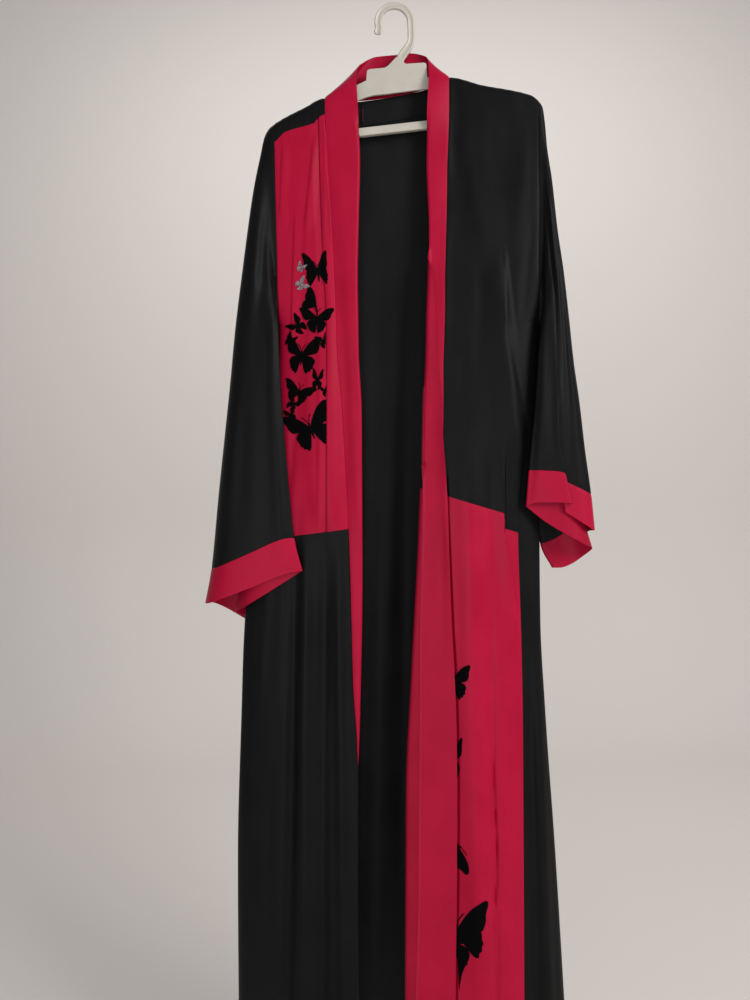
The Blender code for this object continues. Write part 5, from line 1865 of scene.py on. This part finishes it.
LOWER_BUTTERFLIES = named_rows(
    BUTTERFLY_NAMES,
    (70.5, -977, -2, 31, 0.0, 0.90, -2, -4, 0.0),
    (72, -1092, 2, 35, 0.0, 0.40, 8, 10, 0.0),
    (73.5, -1217, 114, 37, 0.0, 0.95, 0, 20, 0.0),
    (73, -1352, 0, 58, 0.0, 0.85, 0, -28, 0.0),
    (73, -1367, 0, 48, 0.0, 0.60, 0, 8, 0.6),
)


def pleat_edge(z):
    return PLEAT_X(z) - PLEAT_MARGIN


chest_tree = over_cloth(chest)
lower_tree = over_cloth(left_lower)
flock_piece("chest_butterflies", [
    butterfly(chest_tree, row, i % 3, pleat_edge) for i, row in enumerate(CHEST_BUTTERFLIES)
], black_flock)
flock_piece("pleat_butterflies", [
    butterfly(chest_tree, row, 1 + i) for i, row in enumerate(PLEAT_BUTTERFLIES)
], black_flock)
flock_piece("silver_butterflies", [
    butterfly(chest_tree, row, 3) for row in SILVER_BUTTERFLIES
], silver_glitter)
flock_piece("skirt_butterflies", [
    butterfly(lower_tree, row, 0) for row in LOWER_BUTTERFLIES
], black_flock)

# STITCHES
# Sewing thread laid along lines of the cloth: the serged edge of the left band's seam, which
# shows where the band is turned out, and the tacking at one end of the label.


def stitch_tree(name, crosswise):
    """Geometry nodes that lay equal stitches along a line, along it or across it."""
    tree = bpy.data.node_groups.new(name, "GeometryNodeTree")
    tree.interface.new_socket("Line", in_out="INPUT", socket_type="NodeSocketGeometry")
    for label, value in (("Pitch", 0.003), ("Length", 0.0022), ("Radius", 0.00022)):
        socket = tree.interface.new_socket(label, in_out="INPUT", socket_type="NodeSocketFloat")
        socket.default_value = value
    tree.interface.new_socket("Thread", in_out="INPUT", socket_type="NodeSocketMaterial")
    tree.interface.new_socket("Stitches", in_out="OUTPUT", socket_type="NodeSocketGeometry")
    entry = add_node(tree, "NodeGroupInput")
    leave = add_node(tree, "NodeGroupOutput")
    spaced = add_node(tree, "GeometryNodeResampleCurve", mode="LENGTH")
    thread = add_node(tree, "GeometryNodeMeshUVSphere", {"Segments": 8, "Rings": 6})
    thread.inputs["Radius"].default_value = 1.0
    half = add_node(tree, "ShaderNodeMath", {1: 0.5}, operation="MULTIPLY")
    size = add_node(tree, "ShaderNodeCombineXYZ")
    tangent = add_node(tree, "GeometryNodeInputTangent")
    aim = add_node(tree, "FunctionNodeAlignRotationToVector", axis="Z")
    laid = add_node(tree, "GeometryNodeInstanceOnPoints")
    real = add_node(tree, "GeometryNodeRealizeInstances")
    paint = add_node(tree, "GeometryNodeSetMaterial")
    smooth_faces = add_node(tree, "GeometryNodeSetShadeSmooth")
    long_axis, short_axis = ("X", "Z") if crosswise else ("Z", "X")
    wire(
        tree,
        (entry, "Line", spaced, "Curve"),
        (entry, "Pitch", spaced, "Length"),
        (entry, "Length", half, 0),
        (half, 0, size, long_axis),
        (entry, "Radius", size, short_axis),
        (entry, "Radius", size, "Y"),
        (tangent, "Tangent", aim, "Vector"),
        (spaced, "Curve", laid, "Points"),
        (thread, "Mesh", laid, "Instance"),
        (aim, "Rotation", laid, "Rotation"),
        (size, "Vector", laid, "Scale"),
        (laid, "Instances", real, "Geometry"),
        (real, "Geometry", smooth_faces, "Geometry"),
        (smooth_faces, "Geometry", paint, "Geometry"),
        (entry, "Thread", paint, "Material"),
        (paint, "Geometry", leave, "Stitches"),
    )
    return tree


def thread_material(name, slot, colour):
    """Twisted polyester thread."""
    made, tree, shader = new_material(name, slot)
    place = add_node(tree, "ShaderNodeTexCoord")
    twist = add_node(tree, "ShaderNodeTexWave", {"Scale": 900.0, "Distortion": 1.0})
    tint = colour_ramp(tree, [0.7 * part for part in colour], colour)
    wire(
        tree,
        (place, "Object", twist, "Vector"),
        (twist, "Fac", tint, "Fac"),
        (tint, "Color", shader, "Base Color"),
    )
    put(shader.inputs, {"Roughness": 0.6, "Specular IOR Level": 0.2})
    return made


STITCH_ALONG = stitch_tree("stitch_along", False)
STITCH_ACROSS = stitch_tree("stitch_across", True)


def sew(name, line, tree, thread, pitch, length, radius):
    """Stitches along a line of points, as one plain mesh."""
    curve = bpy.data.curves.new(name, "CURVE")
    curve.dimensions = "3D"
    spline = curve.splines.new("POLY")
    spline.points.add(len(line) - 1)
    for point, place in zip(spline.points, line):
        point.co = (*(place * MM), 1)
    guide = in_place(name + "_line", curve)
    modifier = guide.modifiers.new("stitches", "NODES")
    modifier.node_group = tree
    values = {"Pitch": pitch * MM, "Length": length * MM, "Radius": radius * MM}
    for item in tree.interface.items_tree:
        if item.in_out == "INPUT" and item.name in values:
            modifier[item.identifier] = values[item.name]
        if item.in_out == "INPUT" and item.name == "Thread":
            modifier[item.identifier] = thread
    bpy.context.view_layer.update()
    evaluated = guide.evaluated_get(bpy.context.evaluated_depsgraph_get())
    mesh = bpy.data.meshes.new_from_object(evaluated)
    bpy.data.objects.remove(guide)
    finish_piece(in_place(name, mesh), thread)


# Run of the serging past the fold's start, above where it follows the band's seam
SERGE_RUN = table("z run", (-520, 7), (-640, 8), (-690, 12.3))["run"]
SERGE_TURN = -690.0


def lapel_point(offset, z, lift):
    """Point on the side of the turned-out left edge that shows, by its run from the serging."""
    run = SERGE_RUN(z) if z > SERGE_TURN else LEFT_EDGE["seam"](z) + 0.5
    point = edge_point(1, run + offset, z)
    ahead = edge_point(1, run + offset + 0.5, z)
    along = (ahead - point).normalized()
    outward = Vector((along.y, -along.x, 0))
    return point + outward * (BAND_CLOTH + lift)


crimson_thread = thread_material("crimson_thread", "crimson_satin", (0.56, 0.03, 0.085))
red_thread = thread_material("red_thread", "label_tape", (0.45, 0.02, 0.03))
SERGE_TOP = -545.0
# The tacking: how far it lies from the label's end, and its points down the label's height
TACK_INSET = 1.5
TACK_POINTS = 9
TACK_FROM = 0.3
TACK_STEP = 0.06
serge_heights = heights(SERGE_TOP, HEM + 2, 6.0)[::-1]
sew(
    "serged_edge", [lapel_point(0.0, z, lift=0.2) for z in serge_heights],
    STITCH_ACROSS, crimson_thread, pitch=1.7, length=3.4, radius=0.26,
)
sew(
    "serged_chain", [lapel_point(1.7, z, lift=0.35) for z in serge_heights],
    STITCH_ALONG, crimson_thread, pitch=2.2, length=2.0, radius=0.3,
)
tacking = []
for i in range(TACK_POINTS):
    drop = between(*LABEL_DROP, TACK_FROM + TACK_STEP * i)
    tacking.append(label_point(LABEL_LEFT + TACK_INSET, drop, lift=0.25))
sew("label_tacking", tacking, STITCH_ALONG, red_thread, pitch=3.4, length=2.5, radius=0.3)

# STUDIO
# A plain pale floor that sweeps up into a backdrop, soft light from the front and above, and
# the camera where the photograph was taken from.
FLOOR_M = -1.78
BACKDROP_M = 2.6
SWEEP_M = 0.9


def sweep():
    """Floor and backdrop in one curved sheet."""
    profile = [(-4.0, FLOOR_M), (BACKDROP_M - SWEEP_M, FLOOR_M)]
    for i in range(1, 13):
        turn = math.radians(90 * i / 12)
        y = BACKDROP_M - SWEEP_M + SWEEP_M * math.sin(turn)
        profile.append((y, FLOOR_M + SWEEP_M - SWEEP_M * math.cos(turn)))
    profile.append((BACKDROP_M, 3.2))
    vertices = [(x, y, z) for x in (-5.0, 5.0) for y, z in profile]
    count = len(profile)
    faces = [(i, i + count, i + count + 1, i + 1) for i in range(count - 1)]
    mesh = bpy.data.meshes.new("studio_sweep")
    mesh.from_pydata(vertices, [], faces)
    piece = in_place("studio_sweep", mesh)
    mesh.shade_smooth()
    return piece


def matt_paper():
    made, _, shader = new_material("pale_paper", "none")
    put(shader.inputs, {"Base Color": (0.74, 0.69, 0.645, 1), "Roughness": 0.9})
    return made


backdrop = sweep()
backdrop.data.materials.append(matt_paper())


def soft_light(name, place, aim, size, power, colour=(1, 1, 1)):
    lamp = bpy.data.lights.new(name, "AREA")
    lamp.shape = "RECTANGLE"
    lamp.size, lamp.size_y = size
    lamp.energy = power
    lamp.color = colour
    holder = in_place(name, lamp)
    holder.location = place
    holder.rotation_euler = (Vector(aim) - Vector(place)).to_track_quat("-Z", "Y").to_euler()


soft_light("key", (2.0, -1.9, 0.5), (0, 0, -0.8), (1.2, 1.4), 60, (1.0, 0.985, 0.96))
soft_light("fill", (-0.3, -2.4, -1.0), (0, 0, -1.0), (1.0, 1.2), 16, (0.97, 0.985, 1.0))
soft_light("back_wash", (0.1, 1.2, 1.2), (0.1, 2.5, -0.9), (2.6, 1.0), 19)
world = bpy.data.worlds.new("studio")
world.use_nodes = True
world.node_tree.nodes["Background"].inputs["Color"].default_value = (0.93, 0.95, 1.0, 1)
world.node_tree.nodes["Background"].inputs["Strength"].default_value = 0.38
bpy.context.scene.world = world
bpy.context.scene.view_settings.view_transform = "Standard"

CAMERA_PLACE_M = (-0.0386, -1.185, -0.6474)
CAMERA_PITCH = math.radians(2.9)
CAMERA_ROLL = math.radians(-0.8)
CAMERA_LENS_MM = 28.8


def photo_camera():
    """The photograph's view: a phone held upright, tilted slightly down and to one side."""
    ahead = Vector((0, math.cos(CAMERA_PITCH), -math.sin(CAMERA_PITCH)))
    level_right = Vector((1, 0, 0))
    level_up = level_right.cross(ahead)
    cosine = math.cos(CAMERA_ROLL)
    sine = math.sin(CAMERA_ROLL)
    right = cosine * level_right + sine * level_up
    up = cosine * level_up - sine * level_right
    camera = in_place("photo_camera", bpy.data.cameras.new("photo_camera"))
    turned = Matrix((right, up, -ahead)).transposed().to_4x4()
    camera.matrix_world = Matrix.Translation(CAMERA_PLACE_M) @ turned
    camera.data.lens = CAMERA_LENS_MM
    camera.data.sensor_width = 36.0
    camera.data.sensor_fit = "AUTO"
    camera.data.clip_start = 0.01
    return camera


bpy.context.scene.camera = photo_camera()
